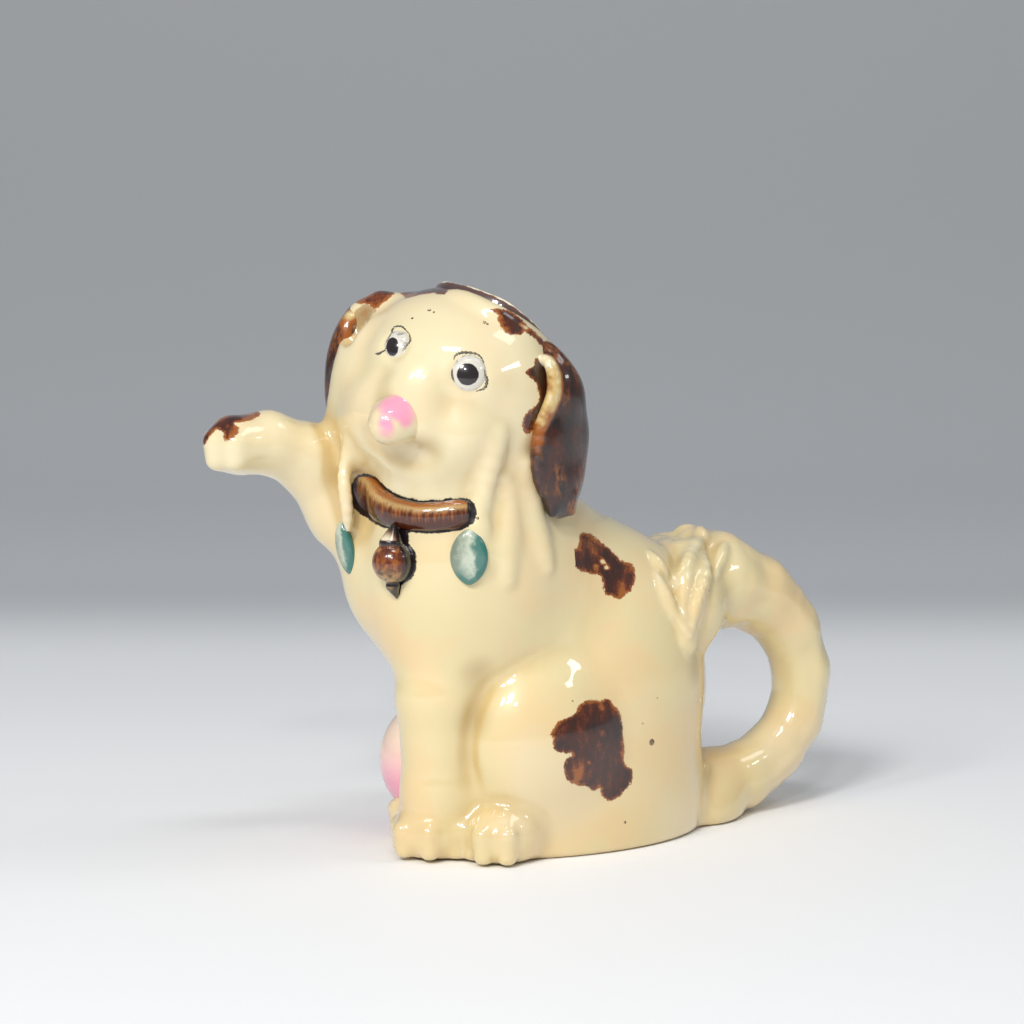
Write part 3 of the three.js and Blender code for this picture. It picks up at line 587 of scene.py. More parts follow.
def gaze_axes(gaze, tilt=0):
    """Rows: along a gaze, across it and up, turned about the gaze by a tilt in degrees."""
    along = unit(np.array(gaze))
    level = unit(np.cross(UP, along))
    above = np.cross(along, level)
    turn = math.radians(tilt)
    across = math.cos(turn) * level + math.sin(turn) * above
    return np.array([along, across, np.cross(along, across)])


def mouth_edge(turns, rise, radius):
    """Points round the bulging edge of the opening, at a height along its axis and a radius from it."""
    aside = unit(np.cross(UP, MOUTH_AXIS))
    level = np.cross(MOUTH_AXIS, aside)
    bulge = LIP_BULGE * np.exp(-(((turns - math.radians(LIP_BULGE_TURN)) / LIP_BULGE_SPREAD) ** 2))
    around = np.cos(turns)[:, None] * level + np.sin(turns)[:, None] * aside
    return MOUTH_MIDDLE + rise * MOUTH_AXIS + (radius + bulge)[:, None] * around


def round_bore(low, high, radius):
    """A bore about the mouth's axis."""

    def rule(points):
        away = points - MOUTH_MIDDLE.astype(points.dtype)
        rise = away @ MOUTH_AXIS.astype(points.dtype)
        across = np.sqrt(np.maximum((away * away).sum(1) - rise * rise, 0))
        return np.maximum(across - radius, np.maximum(low - rise, rise - high))

    return Form(rule, MOUTH_MIDDLE - BORE_REACH, MOUTH_MIDDLE + BORE_REACH)


def paw(place, toes, side=1, softness=1.4):
    """A paw with toes fanned round it."""
    (x, y, z), (long, wide, high) = place
    pad = np.array([x, y * side, z])
    clay = Clay().add(lump(pad, (long, wide, high)))
    for heading in toes:
        run = toward(heading) * (long, side * wide, 0)
        start = pad + 0.62 * high * UP + 0.42 * run
        middle = pad + 0.15 * high * UP + 0.87 * run
        end = pad - 0.5 * high * UP + 0.82 * run
        clay.add(strand([start, middle, end], [TOE_STOUT * 0.7, TOE_STOUT, TOE_STOUT], 1), softness)
    return clay


def trunk():
    """The plain rump, chest and neck."""
    clay = Clay().add(lump(*RUMP))
    clay.add(lump(*SKIRT), 8)
    clay.add(lump(*CHEST), 12)
    return clay.add(stem(*NECK), 10)


@lru_cache(maxsize=None)
def torso():
    """The body and neck, without the head, the forelegs and the tail."""
    clay = trunk()
    clay.add(stem(*SHOULDERS), 12)
    clay.add(lump(*RAISED_SHOULDER), 8)
    clay.add(lump(*FAR_RUFF), 5)
    clay.add(lump(*NEAR_RUFF), 5)
    for side in (1, -1):
        (x, y, z), halves = HAUNCH
        clay.add(lump((x, y * side, z), halves), 4)
    for side in (1, -1):
        clay.add(paw(HIND_PAW, HIND_PAW_TOES, side), 4)
    return clay


@lru_cache(maxsize=None)
def head():
    """The head with its sockets and the crease of its mouth."""
    clay = Clay()
    clay.add(head_lump(SKULL))
    clay.add(head_lump(JAW), 8)
    clay.add(head_lump(BROW), 6)
    for side in (1, -1):
        clay.add(head_lump(CHEEK, side), 6)
    clay.add(head_lump(SNOUT), 6)
    clay.add(head_lump(BRIDGE), 5)
    clay.carve(head_lump(MOUTH_CREASE), 7)
    for eye in (NEAR_EYE, FAR_EYE):
        front, gaze, halves, tilt = eye[:4]
        axes = gaze_axes(gaze, tilt)
        socket = lump(np.array(front) + 1.6 * axes[0], (3.9, halves[1] + 0.8, halves[2] + 0.8), axes)
        clay.carve(socket, 2.5)
    return clay


@lru_cache(maxsize=None)
def tail():
    """The tail handle, its lifted hair and the tuft at its tip."""
    clay = strand(TAIL, TAIL_STOUT, 4)
    middle = curve_through([point + (stout,) for point, stout in zip(TAIL, TAIL_STOUT)], 15)
    for turn in TAIL_RIDGE_TURNS:
        for side in (1, -1):
            ridge = []
            for index in range(2, 12):
                run = middle[index + 1][:3] - middle[index - 1][:3]
                outward = np.cross(unit(run), LEFT)
                lean = math.radians(turn + 7 * math.sin(index * 1.3 + turn))
                off = math.sin(lean) * side * LEFT - math.cos(lean) * outward
                ridge.append(middle[index][:3] + (middle[index][3] - TAIL_RIDGE_SINK) * off)
            clay.add(strand(ridge, [TAIL_RIDGE_STOUT] * len(ridge), 1), 2.5)
    clay.add(lump(*TAIL_FOOT), 5)
    clay.add(lump(*TUFT), 4)
    (x, y, z), halves = TUFT_SIDE
    for side in (1, -1):
        clay.add(lump((x, side * y, z), halves), 10)
        for ahead, left, high, radius in TUFT_CURLS:
            clay.add(lump((ahead, side * left, high), (radius, radius, radius)), 2.5)
    return clay


def low_strip(clay, points, wide, high, softness=1.0):
    """A strip laid on some clay, with half widths and heights along its points."""
    wide = np.asarray(wide, float)
    high = np.asarray(high, float)
    stoutness = np.minimum((wide ** 2 + high ** 2) / (2 * high), WIDEST_STRIP)
    return strand(laid_on(clay, points, high - stoutness), stoutness, softness)


def laid_on(clay, points, lifts):
    """Points moved onto the skin of some clay, then off it by their lifts."""
    points = settle(clay, points, 6, 3.0)
    return points + unit(slope(clay, points)[1]) * np.reshape(lifts, (-1, 1))


@lru_cache(maxsize=None)
def outside():
    """The whole casting as if it were solid."""
    clay = Clay()
    clay.add(torso())
    clay.add(strand(STANDING_LEG, STANDING_STOUT, 4), 5)
    clay.add(paw(FOREPAW, FOREPAW_TOES), 3)
    clay.add(strand(RAISED_LEG, RAISED_STOUT, 5), 6)
    clay.add(paw(RAISED_PAW, RAISED_PAW_TOES, 1, 4), 3)
    clay.add(head(), 6)
    clay.add(tail(), 4)
    for lock, share in ((NEAR_LOCK, 1.0), (FAR_LOCK, FAR_LOCK_SHARE)):
        clay.add(strand(curve_through(lock, 9), share * LOCK_STOUT, 1), 4.2)
    roll = mouth_edge(np.radians(np.arange(*ROLL_TURNS)), ROLL_RISE, ROLL_AROUND)
    clay.add(strand(roll, [ROLL_STOUT] * len(roll), 2), 4)
    clay.add(strand(FAR_HAIR, FAR_HAIR_STOUT, 5), 8)
    clay.add(strand(FAR_EAR_TOP, FAR_EAR_TOP_STOUT, 3), 5)
    clay.add(strand(curve_through(FAR_EAR_ROOT, 9), FAR_EAR_ROOT_STOUT, 1), 6)
    clay.carve(lump(*FAR_EAR_HOLLOW), 4)
    smooth = Clay(*clay.steps)
    taper = np.sin(np.linspace(0.25, math.pi - 0.25, 9))
    for fold in FOLDS:
        for line in both_sides(fold):
            clay.add(low_strip(smooth, curve_through(line, 9), FOLD_WIDE * taper, FOLD_HIGH * taper), 4)
    shares = np.linspace(0, len(TONGUE) - 1, 13)
    wide = np.interp(shares, range(len(TONGUE)), TONGUE_WIDE)
    high = np.interp(shares, range(len(TONGUE)), TONGUE_HIGH)
    for line in both_sides(TONGUE):
        clay.add(low_strip(smooth, curve_through(line, 13), wide, high), 1.2)
    combed = Clay(*clay.steps)
    for ridge in TUFT_RIDGES:
        for line in both_sides(ridge):
            clay.add(low_strip(combed, curve_through(line, 9), RIDGE_WIDE * taper, RIDGE_HIGH * taper), 1.5)
    ground = Form(lambda points: points[:, 2], (-200, -200, -60), (200, 200, 0))
    return clay.carve(ground, 2.4)


@lru_cache(maxsize=None)
def casting():
    """The casting with its hollow and the opening in the crown."""
    wall = sizes().wall / MM
    core = trunk().add(head_lump(SKULL), 8)

    def hollow(points):
        return np.maximum(core(points) + wall, wall - points[:, 2])

    clay = Clay().add(outside())
    clay.carve(Form(hollow, core.low, core.high), 1)
    return clay.carve(round_bore(-MOUTH_RISE / 2, BORE_HEIGHT, sizes().mouth / MM), 1)


# Skins: closed meshes made where clay ends, looked for some spacings round the clay.

CUBE = [(x, y, z) for x in (0, 1) for y in (0, 1) for z in (0, 1)]
CUBE_EDGES = [(a, b) for a in CUBE for b in CUBE if a < b and sum(abs(i - j) for i, j in zip(a, b)) == 1]
SKIN_MARGIN = 2.37
EVENING_ROUNDS = 2
POINTS_AT_ONCE = 200000
TETRAHEDRON = np.array([(1, 1, 1), (1, -1, -1), (-1, 1, -1), (-1, -1, 1)], float)


def sampled(clay, low, counts, pitch):
    """The clay's depth at every point of a box of evenly spaced points."""
    ys = low[1] + pitch * np.arange(counts[1])
    zs = low[2] + pitch * np.arange(counts[2])
    plane = np.stack(np.meshgrid(ys, zs, indexing="ij"), -1).reshape(-1, 2)
    depth = np.empty(counts, np.float32)
    layers = max(1, POINTS_AT_ONCE // len(plane))
    for first in range(0, counts[0], layers):
        xs = low[0] + pitch * np.arange(first, min(first + layers, counts[0]))
        points = np.empty((len(xs) * len(plane), 3), np.float32)
        points[:, 0] = np.repeat(xs, len(plane))
        points[:, 1:] = np.tile(plane, (len(xs), 1))
        depth[first:first + len(xs)] = clay(points).reshape(len(xs), counts[1], counts[2])
    return depth


def slope(clay, points, reach=0.2):
    """The clay's depth and its outward slope at points."""
    depth = np.zeros(len(points))
    out = np.zeros((len(points), 3))
    for corner in TETRAHEDRON:
        here = clay(points + reach * corner)
        depth += here / 4
        out += here[:, None] * corner / (4 * reach)
    return depth, out


def settle(clay, points, rounds=3, furthest=0.6):
    """Moves points along the clay's slope until they lie on its skin."""
    for _ in range(rounds):
        depth, out = slope(clay, points)
        steep = np.maximum((out ** 2).sum(1), 0.05)
        move = -out * (depth / steep)[:, None]
        far = np.linalg.norm(move, axis=1)
        points = points + move * np.minimum(1, furthest / np.maximum(far, 1e-9))[:, None]
    return points


def evened(points, faces, out, share=0.5):
    """Slides points along the skin towards the middle of their neighbours."""
    following = np.roll(faces, -1, axis=1)
    ends = np.concatenate([faces.ravel(), following.ravel()])
    others = np.concatenate([following.ravel(), faces.ravel()])
    count = np.bincount(ends, minlength=len(points))
    middle = np.stack([np.bincount(ends, points[others, axis], len(points)) for axis in range(3)], 1)
    move = middle / np.maximum(count, 1)[:, None] - points
    facing = unit(out)
    return points + share * (move - (move * facing).sum(1)[:, None] * facing)


def skin(clay, pitch):
    """Corners in millimetres and four-sided faces of the closed surface where the clay ends."""
    low = clay.low - SKIN_MARGIN * pitch
    high = clay.high + SKIN_MARGIN * pitch
    counts = tuple(np.ceil((high - low) / pitch).astype(int) + 1)
    depth = sampled(clay, low, counts, pitch)
    inside = depth < 0
    full = np.zeros([count - 1 for count in counts], np.uint8)
    for x, y, z in CUBE:
        full += inside[x:counts[0] - 1 + x, y:counts[1] - 1 + y, z:counts[2] - 1 + z]
    cells = np.argwhere((full > 0) & (full < 8))
    number = np.full(full.shape, -1, np.int64)
    number[tuple(cells.T)] = np.arange(len(cells))
    place = np.zeros((len(cells), 3))
    hits = np.zeros(len(cells))
    for start, end in CUBE_EDGES:
        from_depth = depth[tuple((cells + start).T)].astype(float)
        to_depth = depth[tuple((cells + end).T)].astype(float)
        crossing = (from_depth < 0) != (to_depth < 0)
        share = from_depth[crossing] / (from_depth[crossing] - to_depth[crossing])
        run = np.subtract(end, start)
        place[crossing] += cells[crossing] + np.array(start) + share[:, None] * run
        hits += crossing
    corners = low + pitch * place / hits[:, None]
    faces = []
    for axis in range(3):
        ahead = tuple(slice(1, None) if other == axis else slice(None) for other in range(3))
        behind = tuple(slice(None, -1) if other == axis else slice(None) for other in range(3))
        starts = inside[behind]
        edges = np.argwhere(starts != inside[ahead])
        step_side, step_upper = np.roll(np.eye(3, dtype=int), -axis, axis=0)[1:]
        ring = [edges - step_side - step_upper, edges - step_upper, edges, edges - step_side]
        quads = np.stack([number[tuple(cell.T)] for cell in ring], 1)
        backward = ~starts[tuple(edges.T)]
        quads[backward] = quads[backward][:, ::-1]
        faces.append(quads)
    faces = np.concatenate(faces)
    corners = settle(clay, corners, 2, pitch * 0.6)
    for _ in range(EVENING_ROUNDS):
        corners = evened(corners, faces, slope(clay, corners)[1])
        corners = settle(clay, corners, 1, pitch * 0.6)
    return corners, faces


def ringed_faces(rings, sides):
    """Faces between rings of corners. The two last corners are tips that close the first and last ring."""
    faces = []
    for ring in range(rings - 1):
        here = ring * sides
        for index in range(sides):
            following = (index + 1) % sides
            faces.append((here + index, here + following, here + sides + following, here + sides + index))
    last = (rings - 1) * sides
    for index in range(sides):
        following = (index + 1) % sides
        faces.append((rings * sides, following, index))
        faces.append((rings * sides + 1, last + index, last + following))
    return faces


def swept(path, outward, upward, outs, ups, sides, round_ends, end_share=1.0):
    """A closed bar along a path: ring half lengths outs and ups along the two directions at each station."""
    path = np.asarray(path, float)
    last = len(path) - 1
    stations = [(0, turn) for turn in np.linspace(-90, 0, round_ends + 1)[1:]]
    stations += [(index, 0.0) for index in range(1, last)]
    stations += [(last, turn) for turn in np.linspace(0, 90, round_ends + 1)[:-1]]
    runs = unit(np.gradient(path, axis=0))
    corners = []
    for index, turn in stations:
        shrink = math.cos(math.radians(turn))
        push = math.sin(math.radians(turn)) * min(outs[index], ups[index]) * end_share
        middle = path[index] + runs[index] * push
        for angle in np.linspace(0, 2 * math.pi, sides, endpoint=False):
            corners.append(middle + shrink * (math.cos(angle) * outs[index] * outward[index]
                                              + math.sin(angle) * ups[index] * upward[index]))
    corners.append(path[0] - runs[0] * min(outs[0], ups[0]) * end_share)
    corners.append(path[last] + runs[last] * min(outs[last], ups[last]) * end_share)
    return np.array(corners), ringed_faces(len(stations), sides)


def make_piece(name, corners, faces, material, replaced=(), marks=None):
    """A smooth mesh piece that rides on the planter's one body."""
    mesh = bpy.data.meshes.new(name)
    mesh.from_pydata((corners * MM).tolist(), [], faces.tolist() if isinstance(faces, np.ndarray) else faces)
    mesh.update()
    mesh.polygons.foreach_set("use_smooth", [True] * len(mesh.polygons))
    for mark, values in (marks or {}).items():
        attribute = mesh.attributes.new(mark, "FLOAT", "POINT")
        attribute.data.foreach_set("value", np.asarray(values, np.float32))
    mesh.materials.append(material)
    piece = bpy.data.objects.new(name, mesh)
    bpy.context.scene.collection.objects.link(piece)
    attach(piece, "root")
    if replaced:
        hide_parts(*replaced)
    return piece


# Shader wiring.

class Signal:
    """A number or colour that shader nodes work out. Sums are written as usual and become nodes."""

    def __init__(self, wiring, socket):
        self.wiring = wiring
        self.socket = socket

    def math(self, operation, other=0.0):
        node = self.wiring.node("ShaderNodeMath", {0: self, 1: other}, operation=operation)
        return self.wiring.signal(node)

    def __add__(self, other):
        return self.math("ADD", other)

    def __sub__(self, other):
        return self.math("SUBTRACT", other)

    def __mul__(self, other):
        return self.math("MULTIPLY", other)

    def __truediv__(self, other):
        return self.math("DIVIDE", other)

    def __abs__(self):
        return self.math("ABSOLUTE")

    def greater(self, other):
        return self.math("MAXIMUM", other)

    def clamped(self):
        """The result of a sum, kept between 0 and 1."""
        self.socket.node.use_clamp = True
        return self


class Wiring:
    """Adds nodes to one tree, left to right, and joins them."""

    def __init__(self, tree):
        self.tree = tree
        self.count = 0

    def node(self, kind, inputs=None, **settings):
        node = self.tree.nodes.new(kind)
        node.location = (self.count % 12 * 190, -(self.count // 12) * 260)
        self.count += 1
        for name, value in settings.items():
            setattr(node, name, value)
        for name, value in (inputs or {}).items():
            self.feed(node.inputs[name], value)
        return node

    def feed(self, socket, value):
        if isinstance(value, Signal):
            self.tree.links.new(value.socket, socket)
        elif socket.type == "RGBA" and len(value) == 3:
            socket.default_value = (*value, 1)
        else:
            socket.default_value = value

    def signal(self, node, output=0):
        return Signal(self, node.outputs[output])

    def signals(self, node):
        """All outputs of a node by name."""
        return {socket.name: Signal(self, socket) for socket in node.outputs}

    def spread(self, value, low, high, to_low=0.0, to_high=1.0):
        inputs = {"Value": value, "From Min": low, "From Max": high, "To Min": to_low, "To Max": to_high}
        node = self.node("ShaderNodeMapRange", inputs, interpolation_type="SMOOTHSTEP", clamp=True)
        return self.signal(node)

    def mixed(self, share, first, second):
        inputs = {0: share, 6: first, 7: second}
        return self.signal(self.node("ShaderNodeMix", inputs, data_type="RGBA", clamp_factor=True), 2)

    def mark(self, name):
        return self.signal(self.node("ShaderNodeAttribute", attribute_name=name), "Fac")

    def place(self):
        return self.signal(self.node("ShaderNodeTexCoord"), "Object")

    def noise(self, place, scale, detail=2.0, roughness=0.5):
        inputs = {"Vector": place, "Scale": scale, "Detail": detail, "Roughness": roughness}
        return self.signal(self.node("ShaderNodeTexNoise", inputs), "Fac")

    def upright(self, place, share):
        """Places for a noise that is drawn out along the height."""
        node = self.node("ShaderNodeVectorMath", {0: place, 1: (1, 1, share)}, operation="MULTIPLY")
        return self.signal(node)

    def distance(self, place, point):
        inputs = {0: place, 1: tuple(point)}
        return self.signal(self.node("ShaderNodeVectorMath", inputs, operation="DISTANCE"), "Value")

    def ramp(self, share, stops, interpolation="LINEAR"):
        """A colour from a ramp, whose stops have a place and a colour."""
        node = self.node("ShaderNodeValToRGB", {"Fac": share})
        node.color_ramp.interpolation = interpolation
        node.color_ramp.elements[0].color = (*stops[0][1], 1)
        node.color_ramp.elements[1].color = (*stops[-1][1], 1)
        for stop, shade in stops[1:-1]:
            node.color_ramp.elements.new(stop).color = (*shade, 1)
        return self.signal(node, "Color")


def new_group(name, inputs, outputs):
    """A shader node group with named sockets; inputs are (name, default)."""
    tree = bpy.data.node_groups.new(name, "ShaderNodeTree")
    for socket_name, default in inputs:
        socket = tree.interface.new_socket(name=socket_name, in_out="INPUT", socket_type="NodeSocketFloat")
        socket.default_value = default
    for socket_name in outputs:
        tree.interface.new_socket(name=socket_name, in_out="OUTPUT", socket_type="NodeSocketFloat")
    wiring = Wiring(tree)
    given = wiring.signals(wiring.node("NodeGroupInput"))
    end = tree.nodes.new("NodeGroupOutput")
    end.location = (2500, 0)
    return wiring, given, end.inputs


@lru_cache(maxsize=None)
def brushed_glaze():
    """Where brushed-on glaze lies, from its depth inside its outline in millimetres."""
    wiring, given, result = new_group(
        "Brushed Glaze",
        [("Depth", 0.0), ("Ragged", 0.8), ("Fade", 3.0), ("Grain", 300.0)],
        ["Cover", "Thickness", "Streak"],
    )
    place = wiring.place()
    broad = wiring.noise(place, given["Grain"], 3.0) - 0.5
    fine = wiring.noise(place, 1500.0, 2.0) - 0.5
    wave = broad * (given["Ragged"] * 4.0)
    finest = wiring.noise(place, 3600.0, 2.0) - 0.5
    ripple = (fine + finest) * (given["Ragged"] * 2.2)
    depth = given["Depth"] + wave + ripple
    wiring.feed(result["Cover"], wiring.spread(depth, -0.12, 0.22))
    cloud = wiring.noise(wiring.upright(place, 0.55), 210.0, 4.0, 0.65)
    body = wiring.spread(depth / given["Fade"], 0.0, 1.0, 0.0, 0.58)
    swirl = (cloud - 0.5) * 1.9
    grainy = (fine + finest) * 0.45
    wiring.feed(result["Thickness"], (body + (swirl + grainy)).clamped())
    streak = wiring.noise(wiring.upright(place, 0.16), 1100.0, 2.0, 0.6)
    wiring.feed(result["Streak"], wiring.spread(streak, 0.36, 0.66))
    return wiring.tree


@lru_cache(maxsize=None)
def flowed_glaze():
    """Clouds in a clear glaze, and how it pools in hollows and thins on ridges."""
    wiring, given, result = new_group(
        "Flowed Glaze",
        [("Hollow", 0.0), ("Ridge", 0.0), ("Cloud Scale", 38.0)],
        ["Pool", "Thin", "Cloud", "Stain"],
    )
    place = wiring.place()
    cloud = wiring.noise(place, given["Cloud Scale"], 2.0, 0.55)
    drift = wiring.noise(wiring.upright(place, 0.45), 95.0, 2.0, 0.5)
    shift = (drift - 0.5) * 0.35
    wiring.feed(result["Pool"], wiring.spread(given["Hollow"] + shift, 0.06, 0.62))
    wiring.feed(result["Thin"], wiring.spread(given["Ridge"] + shift, 0.1, 0.75))
    wiring.feed(result["Cloud"], wiring.spread(cloud, 0.4, 0.62))
    stain = wiring.noise(place, 21.0, 1.0, 0.4)
    wiring.feed(result["Stain"], wiring.spread(stain, 0.5, 0.68))
    return wiring.tree


@lru_cache(maxsize=None)
def glaze_relief():
    """The slight unevenness of a fired glaze, and its pin holes."""
    wiring, given, result = new_group("Glaze Relief", [("Strength", 1.0)], ["Height", "Pin Holes"])
    place = wiring.place()
    wave = wiring.noise(place, 70.0, 1.0, 0.4)
    peel = wiring.noise(place, 420.0, 1.0, 0.4)
    height = wave + peel * 0.1
    wiring.feed(result["Height"], height * given["Strength"])
    spots = wiring.node("ShaderNodeTexVoronoi", {"Vector": place, "Scale": 105.0, "Randomness": 1.0})
    rare = wiring.spread(wiring.noise(place, 60.0, 1.0), 0.6, 0.66)
    dot = wiring.spread(wiring.signal(spots, "Distance"), 0.035, 0.015)
    wiring.feed(result["Pin Holes"], dot * rare)
    return wiring.tree


def new_material(name):
    material = bpy.data.materials.new(name)
    material.use_nodes = True
    material.node_tree.nodes.clear()
    return material, Wiring(material.node_tree)


def bumped_shader(wiring, base, height, strength, distance, shine):
    """Ends a material with a shader on a bumped surface."""
    bump = wiring.node("ShaderNodeBump", {"Strength": strength, "Distance": distance, "Height": height})
    inputs = {"Base Color": base, "Normal": wiring.signal(bump), **shine}
    shader = wiring.node("ShaderNodeBsdfPrincipled", inputs)
    end = wiring.node("ShaderNodeOutputMaterial")
    wiring.tree.links.new(shader.outputs[0], end.inputs["Surface"])


def glossy(wiring, base, height, roughness=0.32):
    """The shader of every glazed piece: coloured glass over fired clay."""
    bumped_shader(wiring, base, height, 0.35, 0.0006, {
        "Roughness": roughness,
        "IOR": 1.5,
        "Specular IOR Level": 0.35,
        "Coat Weight": 1.0,
        "Coat Roughness": 0.035,
        "Coat IOR": 1.52,
    })


def relief(wiring, strength=1.0):
    node = wiring.node("ShaderNodeGroup", node_tree=glaze_relief(), inputs={"Strength": strength})
    return wiring.signals(node)


def brushed(wiring, depth, ragged, fade, grain):
    inputs = {"Depth": depth, "Ragged": ragged, "Fade": fade, "Grain": grain}
    return wiring.signals(wiring.node("ShaderNodeGroup", node_tree=brushed_glaze(), inputs=inputs))


def flowed(wiring):
    inputs = {"Hollow": wiring.mark("hollow"), "Ridge": wiring.mark("ridge")}
    return wiring.signals(wiring.node("ShaderNodeGroup", node_tree=flowed_glaze(), inputs=inputs))


def brown_colour(wiring, thickness):
    """Brown glaze: amber where it is thin, nearly black where it is thick."""
    glaze = glazes()
    return wiring.ramp(thickness, (
        (0.0, glaze.amber), (0.2, glaze.russet), (0.42, glaze.brown), (0.75, glaze.deep_brown),
        (1.0, glaze.black_brown),
    ))


def spotted(wiring, place, spots, outer, inner):
    """Cover of round spots on the skin near some places. It fades between two shares of each radius."""
    cover = None
    middles = laid_on(outside(), np.array([spot[:3] for spot in spots]), np.zeros(len(spots)))
    for middle, (radius, strength) in zip(middles, [spot[3:] for spot in spots]):
        away = wiring.distance(place, middle * MM)
        spot = wiring.spread(away, radius * MM * outer, radius * MM * inner, 0.0, strength)
        cover = spot if cover is None else cover.greater(spot)
    return cover


def cream_ground(wiring):
    """Cream glaze that clouds to peach, pales on ridges and pools to honey in hollows. It is paler higher up
    and has painted shade low down.
    """
    glaze = glazes()
    flow = flowed(wiring)
    base = wiring.mixed(flow["Cloud"] * 0.8, glaze.cream, glaze.peach_cream)
    height = wiring.signal(wiring.node("ShaderNodeSeparateXYZ", {"Vector": wiring.place()}), "Z")
    # Paler higher up, between 7 and 13 cm, and in random stains.
    paler_higher_up = wiring.spread(height, 0.07, 0.13, 0.0, 0.4)
    base = wiring.mixed(paler_higher_up.greater(flow["Stain"] * 0.5), base, glaze.ivory)
    # Painted shade: the cream turns towards honey low down, below 6 cm.
    base = wiring.mixed(wiring.spread(height, 0.06, 0.0, 0.0, 0.25), base, glaze.honey)
    base = wiring.mixed(flow["Thin"] * 0.75, base, glaze.ivory)
    return wiring.mixed(flow["Pool"] * 0.8, base, glaze.honey)


def casting_material():
    glaze = glazes()
    material, wiring = new_material("Cream Glaze")
    place = wiring.place()
    # Painted shade: soft darker spots where shade falls on the body.
    painted_shade = spotted(wiring, place, PAINTED_SHADE_SPOTS, 1.3, 0.0)
    base = wiring.mixed(painted_shade, cream_ground(wiring), glaze.shade)
    specks = spotted(wiring, place, SPECKS, 1.15, 0.75)
    specks = specks * wiring.spread(wiring.noise(place, 2600.0, 1.0), 0.36, 0.46)
    base = wiring.mixed(specks, base, glaze.brown)
    # Olive and amber in the far ear's hollow: thin smeared glaze and painted shade.
    stain = brushed(wiring, wiring.mark("stain"), 0.5, 4.0, 300.0)
    base = wiring.mixed(stain["Cover"] * 0.55, base, glaze.olive)
    smear = stain["Cover"] * (stain["Thickness"] * 0.8)
    base = wiring.mixed(smear, base, glaze.amber)
    paint = brushed(wiring, wiring.mark("paint"), 0.42, 1.5, 360.0)
    thickness = (paint["Thickness"] - wiring.mark("thin") * 0.6).clamped()
    bare = wiring.spread(wiring.mark("thin"), 1.2, 2.0)
    cover = (paint["Cover"] - bare).clamped()
    base = wiring.mixed(cover, base, brown_colour(wiring, thickness))
    outline = brushed(wiring, wiring.mark("outline"), 0.3, 1.0, 420.0)
    base = wiring.mixed(outline["Cover"], base, glaze.black_brown)
    surface = relief(wiring)
    base = wiring.mixed(surface["Pin Holes"] * 0.6, base, glaze.amber)
    height = surface["Height"] + paint["Cover"] * 0.12
    glossy(wiring, base, height)
    return material


def brown_material():
    """Ears: brown glaze that breaks to cream on the rolled rim, with a painted highlight along its crest, and
    pools black at the edges.
    """
    glaze = glazes()
    material, wiring = new_material("Brown Glaze")
    place = wiring.place()
    paint = brushed(wiring, 4.0, 0.6, 3.2, 260.0)
    rim = wiring.mark("rim")
    edge = wiring.mark("edge")
    thickness = paint["Thickness"] + edge * 0.4
    base = brown_colour(wiring, (thickness + 0.12).clamped())
    cloud = wiring.noise(wiring.upright(place, 0.45), 120.0, 4.0, 0.6)
    breaking = cloud + wiring.mark("worn") * 0.22
    fine = wiring.spread(wiring.noise(wiring.upright(place, 0.4), 800.0, 3.0, 0.65), 0.38, 0.62)
    amber_share = wiring.spread(breaking, 0.6, 0.78) * fine
    base = wiring.mixed(amber_share * 0.75, base, glaze.amber)
    base = wiring.mixed(wiring.spread(breaking, 0.76, 0.92) * 0.5, base, glaze.honey)
    # The rolled rim turns amber, honey and ivory towards its crest: the glaze breaking thin on the ridge, and
    # the ivory crest also a painted highlight along it.
    wobble = (wiring.noise(place, 330.0, 2.0, 0.5) - 0.5) * 0.5
    worn = rim + wobble
    base = wiring.mixed(wiring.spread(worn, 0.12, 0.45), base, glaze.amber)
    base = wiring.mixed(wiring.spread(worn, 0.46, 0.72), base, glaze.honey)
    base = wiring.mixed(wiring.spread(worn, 0.7, 0.92), base, glaze.ivory)
    glossy(wiring, base, relief(wiring, 1.3)["Height"], 0.28)
    return material


def lip_material():
    """The crown's lip: thin brown glaze that breaks to cream on its edge, where the cream also paints the
    highlight along the edge.
    """
    glaze = glazes()
    material, wiring = new_material("Lip Glaze")
    place = wiring.place()
    wobble = wiring.noise(place, 420.0, 3.0, 0.6) - 0.5
    rise = wiring.mark("rise") + wobble * 1.1
    thickness = wiring.spread(rise, 2.9, 0.0, 0.3, 0.9)
    worn = (thickness + wobble * 0.8).clamped()
    base = wiring.mixed(0.25, brown_colour(wiring, worn), linear(128, 118, 122))
    # Ivory along the top edge: the glaze breaking thin there, and a painted highlight along it.
    base = wiring.mixed(wiring.spread(rise, 2.5, 2.85), base, glaze.ivory)
    glossy(wiring, base, relief(wiring)["Height"], 0.3)
    return material


